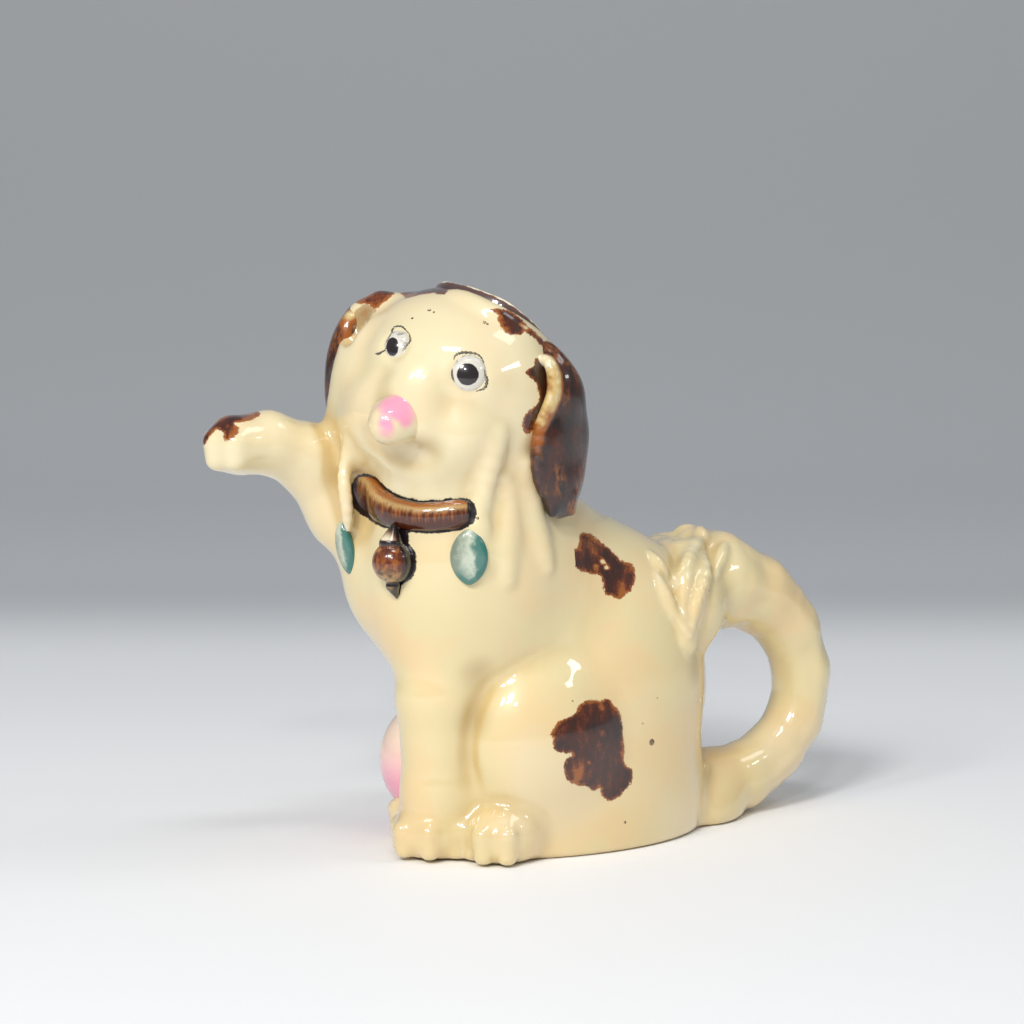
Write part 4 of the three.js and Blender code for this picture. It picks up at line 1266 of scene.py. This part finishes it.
def collar_material():
    glaze = glazes()
    material, wiring = new_material("Streaked Brown Glaze")
    place = wiring.place()
    across = wiring.mark("across")
    streak = wiring.noise(wiring.upright(place, 0.12), 1350.0, 3.0, 0.65)
    # Painted light: paler amber on the band's upper side, towards the lamps, and darker brown below, over the
    # glaze's own streaks.
    paler = wiring.spread(across * 0.3 + streak, 0.4, 0.78)
    base = wiring.mixed(paler, glaze.brown, glaze.amber)
    # Painted highlight: a honey band along the upper third, fading out towards the top edge.
    painted_highlight = wiring.spread(across + streak * 0.5, 0.42, 0.95)
    fade = wiring.spread(across + streak * 0.3, 0.98, 0.66)
    base = wiring.mixed(painted_highlight * fade * 0.8, base, glaze.honey)
    wobble = (wiring.noise(place, 700.0, 2.0) - 0.5) * 0.4
    pooled = wiring.spread(abs(across) + wobble, 0.86, 1.02)
    base = wiring.mixed(pooled, base, glaze.black_brown)
    tips = wiring.spread(wiring.mark("ends"), 0.72, 1.0)
    base = wiring.mixed(tips, base, glaze.black_brown)
    glossy(wiring, base, relief(wiring)["Height"] + streak * 0.25, 0.28)
    return material


def bell_material():
    glaze = glazes()
    material, wiring = new_material("Amber Glaze")
    place = wiring.place()
    paint = brushed(wiring, 2.0, 0.8, 4.0, 420.0)
    mottle = wiring.noise(place, 520.0, 4.0, 0.65)
    thickness = wiring.spread(mottle + paint["Streak"] * 0.12, 0.38, 0.72)
    base = brown_colour(wiring, thickness * 0.36)
    base = wiring.mixed(wiring.mark("low") * wiring.spread(mottle, 0.7, 0.45), base, glaze.honey)
    # Painted highlight on the front of the cap.
    base = wiring.mixed(wiring.spread(wiring.mark("painted_highlight"), 0.2, 0.9), base, glaze.ivory)
    base = wiring.mixed(wiring.spread(wiring.mark("grooves_and_dark_sides"), 0.2, 0.75), base, glaze.black_brown)
    glossy(wiring, base, relief(wiring)["Height"], 0.28)
    return material


def nose_material():
    material, wiring = new_material("Pink Glaze")
    wobble = (wiring.noise(wiring.place(), 210.0) - 0.5) * 0.7
    rosy = wiring.spread(wiring.mark("rosy") + wobble, -0.22, 0.32)
    base = wiring.mixed(rosy, cream_ground(wiring), glazes().pink)
    glossy(wiring, base, relief(wiring)["Height"])
    return material


def ball_material():
    glaze = glazes()
    material, wiring = new_material("Peach Glaze")
    cloud = wiring.noise(wiring.place(), 34.0)
    rosy = wiring.mark("rosy") + (cloud - 0.5) * 1.2
    base = wiring.mixed(wiring.spread(rosy, -0.35, 0.75), glaze.peach, glaze.pink)
    glossy(wiring, base, relief(wiring)["Height"])
    return material


def leaf_material():
    glaze = glazes()
    material, wiring = new_material("Teal Glaze")
    across = wiring.mark("across")
    cloud = (wiring.noise(wiring.place(), 380.0, 3.0, 0.6) - 0.5) * 1.3
    grey = wiring.mixed(wiring.spread(across + cloud, -0.9, 0.2), glaze.grey_green, glaze.pale_teal)
    right = wiring.spread(across + cloud, 0.0, 0.6)
    low = wiring.spread(cloud - wiring.mark("rise"), 0.35, 0.95)
    deep = right.greater(low * 0.7)
    base = wiring.mixed(deep * 0.9, grey, glaze.teal)
    edge = wiring.spread(wiring.mark("edge") + cloud * 0.3, 0.85, 1.05)
    lower = wiring.spread(across - wiring.mark("rise"), -0.3, 0.5)
    base = wiring.mixed(edge * lower * 0.75, base, glaze.teal)
    glossy(wiring, base, relief(wiring)["Height"], 0.3)
    return material


def eye_material():
    glaze = glazes()
    material, wiring = new_material("Eye Glaze")
    place = wiring.place()
    wobble = (wiring.noise(place, 900.0, 2.0) - 0.5) * 0.5
    gaze = wiring.mark("gaze") + wobble
    smudge = wiring.spread(wiring.noise(place, 480.0, 3.0, 0.65), 0.46, 0.7)
    rim = wiring.spread(gaze, 3.5, 5.2)
    grey = rim * smudge * 0.75
    base = wiring.mixed(grey, glaze.eye_white, linear(96, 92, 84))
    base = wiring.mixed(wiring.spread(gaze, 3.15, 2.85), base, glaze.pupil)
    glossy(wiring, base, relief(wiring)["Height"], 0.25)
    return material


def pencil_material():
    material, wiring = new_material("Pencilled Line")
    worn = wiring.spread(wiring.noise(wiring.place(), 1500.0), 0.42, 0.66)
    base = wiring.mixed(worn, linear(74, 70, 62), linear(150, 142, 118))
    glossy(wiring, base, relief(wiring)["Height"])
    return material


# Pieces.

def onto_neck(heading, height, lift=0.0):
    """The point of the neck's skin at a heading round it and a height, lifted off it."""
    reaches = np.arange(5, 90, 0.05)
    line = np.array([*NECK_MIDDLE, height]) + reaches[:, None] * toward(heading)
    beyond = np.flatnonzero(torso()(line) >= lift)
    return line[beyond[0]]


def camera_axes():
    """Directions to the camera's right, up and back towards it."""
    pitch = math.radians(CAMERA_PITCH)
    level = toward(CAMERA_HEADING)
    back = math.cos(pitch) * level + math.sin(pitch) * UP
    right = np.cross(UP, level)
    return right, np.cross(back, right), back


def patch_depth(points, patch):
    """How far inside a brushed patch each point lies, and how thin the glaze is there."""
    middle, outline, thin_spots = patch
    away = points - np.array(middle)
    right, up, back = camera_axes()
    depth = np.full(len(points), -OFF_PATCH)
    thin = np.zeros(len(points))
    near = np.flatnonzero((np.abs(away @ back) < PATCH_REACH) & (np.linalg.norm(away, axis=1) < OFF_PATCH))
    flat = np.stack([away[near] @ right, away[near] @ up], 1)
    ring = np.array(outline + outline[:3])
    ring = curve_through(ring, 3 * len(ring) - 2)[3:-6]
    inside = np.zeros(len(flat), bool)
    nearest = np.full(len(flat), OFF_PATCH)
    for start, end in zip(ring, np.roll(ring, -1, axis=0)):
        run = end - start
        offset = flat - start
        share = np.clip(offset @ run / max(run @ run, 1e-9), 0, 1)
        nearest = np.minimum(nearest, np.linalg.norm(offset - share[:, None] * run, axis=1))
        crosses = (start[1] > flat[:, 1]) != (end[1] > flat[:, 1])
        rise = run[1] if abs(run[1]) > 1e-9 else 1e-9
        inside ^= crosses & (flat[:, 0] < start[0] + (flat[:, 1] - start[1]) * run[0] / rise)
    depth[near] = np.where(inside, nearest, -nearest)
    for across, high, radius, amount in thin_spots:
        away_from_spot = np.hypot(flat[:, 0] - across, flat[:, 1] - high)
        thin[near] = np.maximum(thin[near], amount * np.clip(1.4 - away_from_spot / radius, 0, 1))
    return depth, thin


def brushwork(points):
    """How far inside the brown brushwork each point lies, in millimetres, and how thin it is there."""
    depth = np.full(len(points), -OFF_PATCH)
    thin = np.zeros(len(points))
    for patch in (HAUNCH_PATCH, SHOULDER_PATCH, PAW_PATCH, CROWN_PATCH, CROWN_EDGE, EAR_ROOT_GLAZE_AND_SHADE,
                  EAR_TOP_PATCH):
        inside, thinness = patch_depth(points, patch)
        thin = np.where(inside > depth, thinness, thin)
        depth = np.maximum(depth, inside)
    away = points - MOUTH_MIDDLE
    rise = away @ MOUTH_AXIS
    across = np.linalg.norm(away - rise[:, None] * MOUTH_AXIS, axis=1)
    mouth = sizes().mouth / MM
    flank = np.minimum(across - mouth - 0.3, mouth + 3.2 - across)
    flank = np.where(rise > -6, flank, -OFF_PATCH)
    return np.maximum(depth, flank), np.where(flank > depth, 0.2, thin)


@lru_cache(maxsize=None)
def collar_line():
    """Headings, places on the neck and half heights along the middle of the collar."""
    headings = np.linspace(COLLAR[0][0], COLLAR[-1][0], 61)
    rows = curve_through(COLLAR, 91)
    heights = np.interp(headings, rows[:, 0], rows[:, 1])
    halves = sizes().collar_height / MM * np.interp(headings, rows[:, 0], rows[:, 2])
    return headings, np.array([onto_neck(h, z) for h, z in zip(headings, heights)]), halves


def outline_depth(points):
    """How far inside the dark glaze round the collar and the bell each point lies."""
    headings, line, halves = collar_line()
    depth = np.full(len(points), -OFF_PATCH)
    close = np.flatnonzero(np.all(np.abs(points - line.mean(0)) < 40, axis=1))
    for place, half in zip(line[5:-2], halves[5:-2]):
        away = points[close] - place
        depth[close] = np.maximum(depth[close], half + 0.55 - np.linalg.norm(away, axis=1))
    bell = onto_neck(BELL_HEADING, BELL_HEIGHT)
    top = onto_neck(BELL_HEADING, BELL_HEIGHT + 8)
    tip = onto_neck(BELL_HEADING, BELL_HEIGHT - 9.8)
    radius = sizes().bell / MM
    for form in (lump(bell, (radius + 0.9,) * 3), stem(bell, top, radius * 0.8, radius * 0.6),
                 stem(bell, tip, radius * 0.7, 0.7)):
        depth[close] = np.maximum(depth[close], -form(points[close]))
    return depth


def shape_marks(clay, points):
    """How hollow and how ridged the skin is at each point, from 0 to 1."""
    out = slope(clay, points)[1]
    out /= np.maximum(np.linalg.norm(out, axis=1), 1e-9)[:, None]
    near = np.clip(1 - clay(points + 2.2 * out) / 2.2, 0, 1)
    wide = np.clip(1 - clay(points + 5.5 * out) / 5.5, 0, 1)
    ridge = np.clip(1 + clay(points - 2.2 * out) / 2.2, 0, 1)
    return np.clip(0.55 * near + 0.9 * wide, 0, 1), ridge


class PLANTER_OT_casting(bpy.types.Operator):
    """Cast the hollow puppy in one seamless cream skin, with its brown brushwork"""
    bl_idname = "planter.casting"
    bl_label = "Casting"

    def execute(self, context):
        pitch = sizes().pitch / MM * spacing(1.0)
        corners, faces = skin(casting(), pitch)
        hollow, ridge = shape_marks(outside(), corners)
        paint, thin = brushwork(corners)
        marks = {
            "hollow": hollow,
            "ridge": ridge,
            "paint": paint,
            "thin": thin,
            "outline": outline_depth(corners),
            "stain": patch_depth(corners, EAR_HOLLOW_STAIN_AND_SHADE)[0],
        }
        nodes = ("body_shell", "head_shell", "standing_foreleg", "raised_foreleg", "tail_handle",
                 "left_lock", "right_lock")
        make_piece("glazed_casting", corners, faces, casting_material(), nodes, marks)
        self.lip()
        return {"FINISHED"}

    def lip(self):
        """The thin flared lip round the opening in the crown."""
        turns = np.radians(np.linspace(-150, 210, 121))
        line = mouth_edge(turns, LIP_RISE, sizes().mouth / MM + LIP_OFF_EDGE)
        around = unit(line - MOUTH_MIDDLE - LIP_RISE * MOUTH_AXIS)
        flare = math.radians(LIP_FLARE)
        outward = around * math.cos(flare) - MOUTH_AXIS * math.sin(flare)
        upward = MOUTH_AXIS * math.cos(flare) + around * math.sin(flare)
        thick = np.full(len(turns), LIP_HALF_THICK)
        high = LIP_HALF_HIGH + 0.15 * np.sin(turns * 5) + 0.1 * np.sin(turns * 11 + 1)
        corners, faces = swept(line, outward, upward, thick, high, 20, 2, 0.02)
        rise = (corners - MOUTH_MIDDLE) @ MOUTH_AXIS
        make_piece("crown_lip", corners, faces, lip_material(), (), {"rise": rise})


def ear_clay(flap, heading, rim, drips):
    """An ear flap with a rolled front rim and drips of glaze at its tip."""
    axes = turned_axes(heading)
    clay = Clay()
    for x, y, z, wide, thick in curve_through(flap, 19):
        clay.add(lump((x, y, z), (wide, thick, min(wide + 1.5, 6.5)), axes), 2.5)
    stoutness = np.interp(np.linspace(0, 1, 19), [0, 0.3, 1], [1.3, 1.9, 1.3])
    clay.add(strand(curve_through(rim, 19), stoutness, 1), 2.0)
    for drip in drips:
        clay.add(strand(drip, [2.2, 1.3], 1), 1.8)
    return clay


def make_ear(name, node, flap, heading, rim, drips, material):
    clay = ear_clay(flap, heading, rim, drips)
    corners, faces = skin(clay, spacing(0.7))
    line = curve_through(rim, 60)
    away = np.array([np.linalg.norm(corners - place, axis=1) for place in line])
    nearest = away.min(axis=0)
    along = away.argmin(axis=0) / 59
    lowest = corners[:, 2].min()
    fading = np.clip((0.98 - along) / 0.5, 0, 1)
    marks = {
        "rim": np.clip(1.9 - nearest / 1.7, 0, 1.6) * fading,
        "edge": np.clip(1 - (corners[:, 2] - lowest) / 5, 0, 1),
        "worn": np.clip(np.abs(corners[:, 2] - 132) / 22, 0, 1),
    }
    return make_piece(name, corners, faces, material, (node,), marks)


class PLANTER_OT_ears(bpy.types.Operator):
    """Model both ears: hanging flaps with a rolled rim, glazed brown"""
    bl_idname = "planter.ears"
    bl_label = "Ears"

    def execute(self, context):
        material = brown_material()
        make_ear("left_ear_flap", "left_ear", NEAR_EAR, NEAR_EAR_HEADING, NEAR_RIM, NEAR_DRIPS, material)
        make_ear("right_ear_flap", "right_ear", FAR_EAR, FAR_EAR_HEADING, FAR_RIM, [], material)
        return {"FINISHED"}


def globe(middle, halves, axes, rows=40, columns=56):
    """An oval ball whose first axis is its pole, as corners and faces."""
    halves = np.broadcast_to(np.asarray(halves, float), (3,))
    corners = []
    for angle in np.linspace(0, math.pi, rows + 1)[1:-1]:
        for turn in np.linspace(0, 2 * math.pi, columns, endpoint=False):
            ring = math.sin(angle)
            local = np.array([math.cos(angle), ring * math.cos(turn), ring * math.sin(turn)])
            corners.append(middle + (halves * local) @ axes)
    corners += [middle + halves[0] * axes[0], middle - halves[0] * axes[0]]
    faces = [face[:1] + face[:0:-1] for face in ringed_faces(rows - 1, columns)]
    return np.array(corners), faces


class PLANTER_OT_eyes(bpy.types.Operator):
    """Model the eyeballs with painted pupils, and the pencilled lid lines round them"""
    bl_idname = "planter.eyes"
    bl_label = "Eyes"

    lid_lines = {
        "left": [
            [
                (42.6, 25.4, 154.2), (41.9, 26.0, 155.8), (39.6, 27.0, 156.6), (36.1, 28.9, 156.1),
                (34.8, 31.0, 154.0),
            ],
            [(35.3, 32.3, 151.9), (35.0, 32.4, 149.5), (35.3, 31.7, 146.4), (37.5, 30.0, 145.1)],
            [(42.9, 24.7, 151.2), (42.5, 24.9, 149.5), (41.8, 25.2, 148.1)],
        ],
        "right": [
            [
                (56.0, 7.6, 159.6), (55.2, 8.2, 161.3), (51.7, 6.0, 163.6), (50.3, 8.4, 164.0),
                (50.3, 12.6, 162.0),
            ],
            [(50.3, 12.6, 162.0), (50.9, 14.3, 159.6), (51.6, 12.4, 157.7)],
            [(56.4, 4.1, 155.6), (57.2, 6.2, 156.0), (56.7, 8.3, 157.6)],
        ],
    }

    def execute(self, context):
        share = sizes().eye / MM / NEAR_EYE[2][1]
        white = eye_material()
        pencil = pencil_material()
        balls = {}
        face = Clay().add(outside())
        for name, (front, gaze, halves, tilt, *pupil) in (("left", NEAR_EYE), ("right", FAR_EYE)):
            axes = gaze_axes(gaze, tilt)
            halves = np.array(halves) * (1, share, share)
            middle = np.array(front) - halves[0] * axes[0]
            balls[name] = (middle, halves, axes, gaze, pupil)
            face.add(lump(middle, halves, axes))
        for name, (middle, halves, axes, gaze, pupil) in balls.items():
            corners, faces = globe(middle, halves, axes)
            place, (wide, high), tilt = pupil
            along, across, above = gaze_axes(gaze, tilt)
            away = corners - place
            off = 3 * np.hypot(away @ across / wide, away @ above / high)
            off = np.maximum(off, 12 * ((corners - middle) @ along < 0))
            make_piece(f"{name}_eyeball", corners, faces, white, (f"{name}_eye",), {"gaze": off})
            for index, line in enumerate(self.lid_lines[name]):
                count = 8 * len(line)
                path = settle(face, curve_through(line, count), 4, 2.0)
                out = slope(face, path)[1]
                out /= np.linalg.norm(out, axis=1)[:, None]
                run = np.gradient(path, axis=0)
                beside = np.cross(out, run)
                beside /= np.linalg.norm(beside, axis=1)[:, None]
                taper = np.sin(np.linspace(0.25, math.pi - 0.25, count))
                wide = 0.55 * taper * (0.8 + 0.3 * np.sin(np.arange(count) * 1.9 + index))
                corners, faces = swept(path, out, beside, 0.16 * np.ones(count), np.maximum(wide, 0.1), 8, 2)
                make_piece(f"{name}_lid_line_{index + 1}", corners, faces, pencil, ())
        return {"FINISHED"}


class PLANTER_OT_nose(bpy.types.Operator):
    """Model the round pink nose"""
    bl_idname = "planter.nose"
    bl_label = "Nose"

    def execute(self, context):
        radius = sizes().nose / MM
        middle = from_head(NOSE)
        face = Clay(*outside().steps).add(lump(middle, (radius,) * 3), 4.5)

        def rule(points):
            away = np.linalg.norm(points - middle, axis=1)
            share = np.clip((away / radius - 1.1) / 0.45, 0, 1)
            feather = 0.5 * share * share * (3 - 2 * share) - 0.15
            return np.maximum(face(points) + feather, away - radius * 1.6)

        cap = Form(rule, middle - radius * 1.7, middle + radius * 1.7)
        corners, faces = skin(Clay().add(cap), spacing(0.5))
        right, up, back = camera_axes()
        away = (corners - middle) / radius
        rosy = away @ (0.62 * right + 0.75 * up) - 0.15
        lobe = 0.55 - np.hypot((away @ right + 0.1) / 0.8, away @ up + 0.1)
        away_from_ball = np.clip(lump(middle, (radius,) * 3)(corners) / 2.5, 0, 1)
        hollow, ridge = shape_marks(face, corners)
        marks = {"rosy": np.maximum(rosy, lobe) - away_from_ball, "hollow": hollow, "ridge": ridge}
        make_piece("nose_button", corners, faces, nose_material(), ("nose",), marks)
        return {"FINISHED"}


class PLANTER_OT_collar(bpy.types.Operator):
    """Model the collar band with its streaked glaze"""
    bl_idname = "planter.collar"
    bl_label = "Collar"

    def execute(self, context):
        headings, line, halves = collar_line()
        count = len(line)
        outward = np.array([(math.cos(math.radians(h)), math.sin(math.radians(h)), 0) for h in headings])
        upward = np.tile(UP, (count, 1))
        share = np.linspace(-1, 1, count)
        half_height = halves.copy()
        thick = sizes().collar_thickness / MM * (1 - 0.25 * np.abs(share) ** 6)
        half_height *= 1 + 0.02 * np.sin(share * 17)
        corners, faces = swept(line, outward, upward, thick, half_height, 32, 5, 0.4)
        spread = np.array([np.argmin(np.linalg.norm(line - corner, axis=1)) for corner in corners])
        across = (corners[:, 2] - line[spread][:, 2]) / half_height[spread]
        ends = np.clip((np.abs(share[spread]) - 0.9) / 0.1, 0, 1)
        marks = {"across": across, "ends": ends}
        make_piece("collar", corners, faces, collar_material(), ("collar_band",), marks)
        return {"FINISHED"}


class PLANTER_OT_bell(bpy.types.Operator):
    """Model the bell that hangs from the collar"""
    bl_idname = "planter.bell"
    bl_label = "Bell"

    def execute(self, context):
        radius = sizes().bell / MM
        bell = onto_neck(BELL_HEADING, BELL_HEIGHT, 1.5)
        top = onto_neck(BELL_HEADING, BELL_HEIGHT + BELL_CAP_RISE, 2.4)
        tip = onto_neck(BELL_HEADING, BELL_HEIGHT - BELL_TIP_DROP, 0.4)
        outward = toward(BELL_HEADING)
        aside = np.cross(UP, outward)
        neck = bell + UP * radius * 0.95
        clay = Clay()
        clay.add(lump(bell, (radius, radius, radius * 1.02)))
        clay.add(stem(neck + outward * 0.6, top, radius * 0.6, radius * 0.2), 0.3)
        clay.add(stem(bell - UP * (radius + 0.9), tip, radius * 0.36, 0.4), 0.3)
        front = bell + outward * (radius - 0.2)
        slot_ends = [front - UP * 2.9 + aside * 2.2, front - UP * 3.3, front - UP * 2.9 - aside * 2.2]
        slot = strand(slot_ends, [0.55, 0.75, 0.55], 0.5)
        clay.carve(slot, 0.6)
        corners, faces = skin(clay, spacing(0.35))
        rise = corners[:, 2] - bell[2]
        grooves_and_dark_sides = np.clip(1.5 - np.abs(rise - radius * 0.98) / 0.7, 0, 1)
        grooves_and_dark_sides = np.maximum(grooves_and_dark_sides, np.clip(1.5 - np.abs(rise + radius * 1.04) / 0.6, 0, 1))
        facing = ((corners - bell) @ outward) / radius
        # Dark too wherever the ball turns away from the front.
        grooves_and_dark_sides = np.maximum(grooves_and_dark_sides, np.clip(1.6 * (0.62 - facing), 0, 1))
        grooves_and_dark_sides = np.maximum(grooves_and_dark_sides, np.clip(0.6 - slot(corners), 0, 1))
        # Painted highlight: ivory on the front of the cap, above the ball.
        painted_highlight = np.clip(facing * 1.3, 0, 1) * np.clip(rise - radius, 0, 1)
        low = np.clip(-rise / radius - 0.1, 0, 1) * np.clip(facing * 1.6, 0, 1)
        marks = {"grooves_and_dark_sides": grooves_and_dark_sides, "painted_highlight": painted_highlight, "low": low}
        make_piece("collar_bell", corners, faces, bell_material(), ("bell",), marks)
        return {"FINISHED"}


class PLANTER_OT_leaves(bpy.types.Operator):
    """Model the two ribbon leaves below the hair locks"""
    bl_idname = "planter.leaves"
    bl_label = "Ribbon leaves"

    def execute(self, context):
        long = sizes().leaf_length / MM
        material = leaf_material()
        ground = outside()
        for name, node, place, share in (
            ("near_leaf", "left_leaf", NEAR_LEAF, 1.0),
            ("far_leaf", "right_leaf", FAR_LEAF, FAR_LEAF_SHARE),
        ):
            wide = share * sizes().leaf_width / MM
            middle = laid_on(ground, np.array([place], float), [0.1])[0]
            out = unit(slope(ground, middle[None], 2.5)[1])[0]
            aside = unit(np.cross(UP, out)[None])[0]
            axes = np.array([out, aside, np.cross(out, aside)])
            halves = (2.6, wide * 1.75, long * 1.35)
            clay = Clay().add(lump(middle - aside * wide * 0.6, halves, axes))
            clay.carve(outside_of(lump(middle + aside * wide * 0.6, halves, axes)), 0.8)
            vein = middle + out * 3.6
            clay.carve(stem(vein - axes[2] * long, vein + axes[2] * long, 1.3, 1.3), 1.2)
            corners, faces = skin(clay, spacing(0.4))
            away = corners - middle
            across = away @ axes[1] / wide
            reach = np.abs(across) + (away @ axes[2] / long) ** 2
            marks = {"across": across, "edge": reach, "rise": away @ axes[2] / long}
            make_piece(name, corners, faces, material, (node,), marks)
        return {"FINISHED"}


def outside_of(form):
    """A carving tool that leaves only what lies inside a form."""
    return Form(lambda points: -form(points), form.low - 30, form.high + 30)


class PLANTER_OT_ball(bpy.types.Operator):
    """Model the play ball between the forelegs"""
    bl_idname = "planter.ball"
    bl_label = "Ball"

    def execute(self, context):
        radius = sizes().ball / MM
        middle = np.array(BALL_MIDDLE)
        axes = np.array([UP, FORWARD, LEFT])
        corners, faces = globe(middle, radius, axes, 56, 80)
        rosy = (corners - middle) @ np.array([0.2, 0.1, -0.9]) / radius
        make_piece("play_ball", corners, faces, ball_material(), ("ball",), {"rosy": rosy})
        return {"FINISHED"}


class PLANTER_OT_stage(bpy.types.Operator):
    """Set the pale floor and backdrop, the soft studio lamps and the camera"""
    bl_idname = "planter.stage"
    bl_label = "Stage"

    # Each lamp: place to the camera's right, up and towards the camera from the planter in metres, then its
    # width, height and power in watts.
    lamps = {
        "key_softbox": ((-0.5, 1.05, 1.3), 0.34, 0.3, 13.0),
        "left_softbox": ((-0.95, 1.0, 1.12), 0.24, 0.24, 5.0),
        "right_softbox": ((1.31, 0.77, 0.48), 0.2, 0.14, 1.0),
        "camera_lamp": ((-0.12, 0.78, 1.4), 0.14, 0.09, 3.0),
        "high_softbox": ((0.05, 1.5, 0.62), 0.42, 0.16, 3.5),
        "top_right_lamp": ((0.92, 1.3, 0.05), 0.45, 0.4, 2.0),
    }

    # Painted shade on the sheet: white in front and greyer further back and up the wall, where less light
    # falls; place from 0 to 1 and screen colour.
    painted_shade_stops = (
        (0.0, (252, 252, 253)), (0.2, (248, 249, 251)), (0.42, (202, 204, 207)), (0.62, (188, 190, 193)),
        (1.0, (180, 182, 184)),
    )
    air_colour = (0.91, 0.955, 1.0)
    air_strength = 0.29

    def execute(self, context):
        scene = context.scene
        right, up, back = (Vector(axis) for axis in camera_axes())
        level = Vector(toward(CAMERA_HEADING))
        self.add_camera(scene, back, right, up)
        aim = Vector((0, 0, 0.08))
        for name, ((to_right, to_up, to_back), width, height, power) in self.lamps.items():
            light = bpy.data.lights.new(name, "AREA")
            light.shape = "RECTANGLE"
            light.size = width
            light.size_y = height
            light.energy = power
            lamp = bpy.data.objects.new(name, light)
            lamp.location = aim + right * to_right + Vector((0, 0, to_up)) + level * to_back
            lamp.rotation_euler = (lamp.location - aim).to_track_quat("Z", "Y").to_euler()
            scene.collection.objects.link(lamp)
        self.add_floor(scene, level, right)
        self.add_world(scene)
        scene.view_settings.view_transform = "Standard"
        return {"FINISHED"}

    def add_camera(self, scene, back, right, up):
        data = bpy.data.cameras.new("photo_camera")
        data.lens = CAMERA_LENS
        data.sensor_width = CAMERA_SENSOR
        data.clip_start = 0.05
        data.clip_end = 20
        camera = bpy.data.objects.new("photo_camera", data)
        place = Vector(CAMERA_PLACE) * MM
        turn = Matrix((right, up, back)).transposed().to_4x4()
        camera.matrix_world = Matrix.Translation(place) @ turn
        scene.collection.objects.link(camera)
        scene.camera = camera

    def add_floor(self, scene, level, right):
        """A sheet that lies flat under the planter and curves up behind it."""
        flat = 0.55
        bend = 0.7
        wall = 2.2
        profile = [(1.6, 0.0)]
        profile += [(-flat * share, 0.0) for share in np.linspace(-1, 1, 14)]
        for angle in np.radians(np.linspace(0, 90, 25)[1:]):
            profile.append((-flat - bend * math.sin(angle), bend * (1 - math.cos(angle))))
        profile.append((-flat - bend, bend + wall))
        across = np.linspace(-3, 3, 25)
        corners = [tuple(level * back_by + right * aside + Vector((0, 0, high)))
                   for back_by, high in profile for aside in across]
        faces = []
        for row in range(len(profile) - 1):
            for column in range(len(across) - 1):
                here = row * len(across) + column
                faces.append((here, here + 1, here + 1 + len(across), here + len(across)))
        mesh = bpy.data.meshes.new("backdrop")
        mesh.from_pydata(corners, [], faces)
        mesh.polygons.foreach_set("use_smooth", [True] * len(mesh.polygons))
        depth = mesh.attributes.new("distance_back", "FLOAT", "POINT")
        behind = [-(Vector(corner).dot(level)) + Vector(corner).z for corner in corners]
        depth.data.foreach_set("value", behind)
        mesh.materials.append(self.floor_material())
        floor = bpy.data.objects.new("backdrop", mesh)
        scene.collection.objects.link(floor)

    def floor_material(self):
        material, wiring = new_material("Paper Sweep")
        stops = [(place, linear(*shade)) for place, shade in self.painted_shade_stops]
        # Painted shade: the sheet greys towards the back and up the wall.
        base = wiring.ramp(wiring.spread(wiring.mark("distance_back"), -0.1, 1.5), stops, "EASE")
        grain = wiring.noise(wiring.place(), 900.0)
        bumped_shader(wiring, base, grain, 0.05, 0.0003, {"Roughness": 0.6, "Specular IOR Level": 0.2})
        return material

    def add_world(self, scene):
        world = bpy.data.worlds.new("studio_air")
        world.use_nodes = True
        ground = world.node_tree.nodes["Background"]
        ground.inputs["Color"].default_value = (*self.air_colour, 1)
        ground.inputs["Strength"].default_value = self.air_strength
        scene.world = world


PIECE_OPERATORS = (
    PLANTER_OT_casting,
    PLANTER_OT_ears,
    PLANTER_OT_eyes,
    PLANTER_OT_nose,
    PLANTER_OT_collar,
    PLANTER_OT_bell,
    PLANTER_OT_leaves,
    PLANTER_OT_ball,
    PLANTER_OT_stage,
)


class PLANTER_PT_sidebar(bpy.types.Panel):
    """Sizes, glazes and the pieces to model"""
    bl_idname = "PLANTER_PT_sidebar"
    bl_label = "Puppy Planter"
    bl_space_type = "VIEW_3D"
    bl_region_type = "UI"
    bl_category = "Planter"

    def draw(self, context):
        layout = self.layout
        for group in (context.scene.planter_sizes, context.scene.planter_glazes):
            for name in group.__annotations__:
                layout.prop(group, name)
        for operator in PIECE_OPERATORS:
            layout.operator(operator.bl_idname)


CLASSES = (PlanterSizes, GlazeColours, *PIECE_OPERATORS, PLANTER_PT_sidebar)


def register():
    for cls in CLASSES:
        bpy.utils.register_class(cls)
    bpy.types.Scene.planter_sizes = PointerProperty(type=PlanterSizes)
    bpy.types.Scene.planter_glazes = PointerProperty(type=GlazeColours)


def unregister():
    del bpy.types.Scene.planter_glazes
    del bpy.types.Scene.planter_sizes
    for cls in reversed(CLASSES):
        bpy.utils.unregister_class(cls)


def main():
    register()
    bpy.ops.planter.casting()
    bpy.ops.planter.ears()
    bpy.ops.planter.eyes()
    bpy.ops.planter.nose()
    bpy.ops.planter.collar()
    bpy.ops.planter.bell()
    bpy.ops.planter.leaves()
    bpy.ops.planter.ball()
    bpy.ops.planter.stage()


if __name__ == "__main__":
    main()
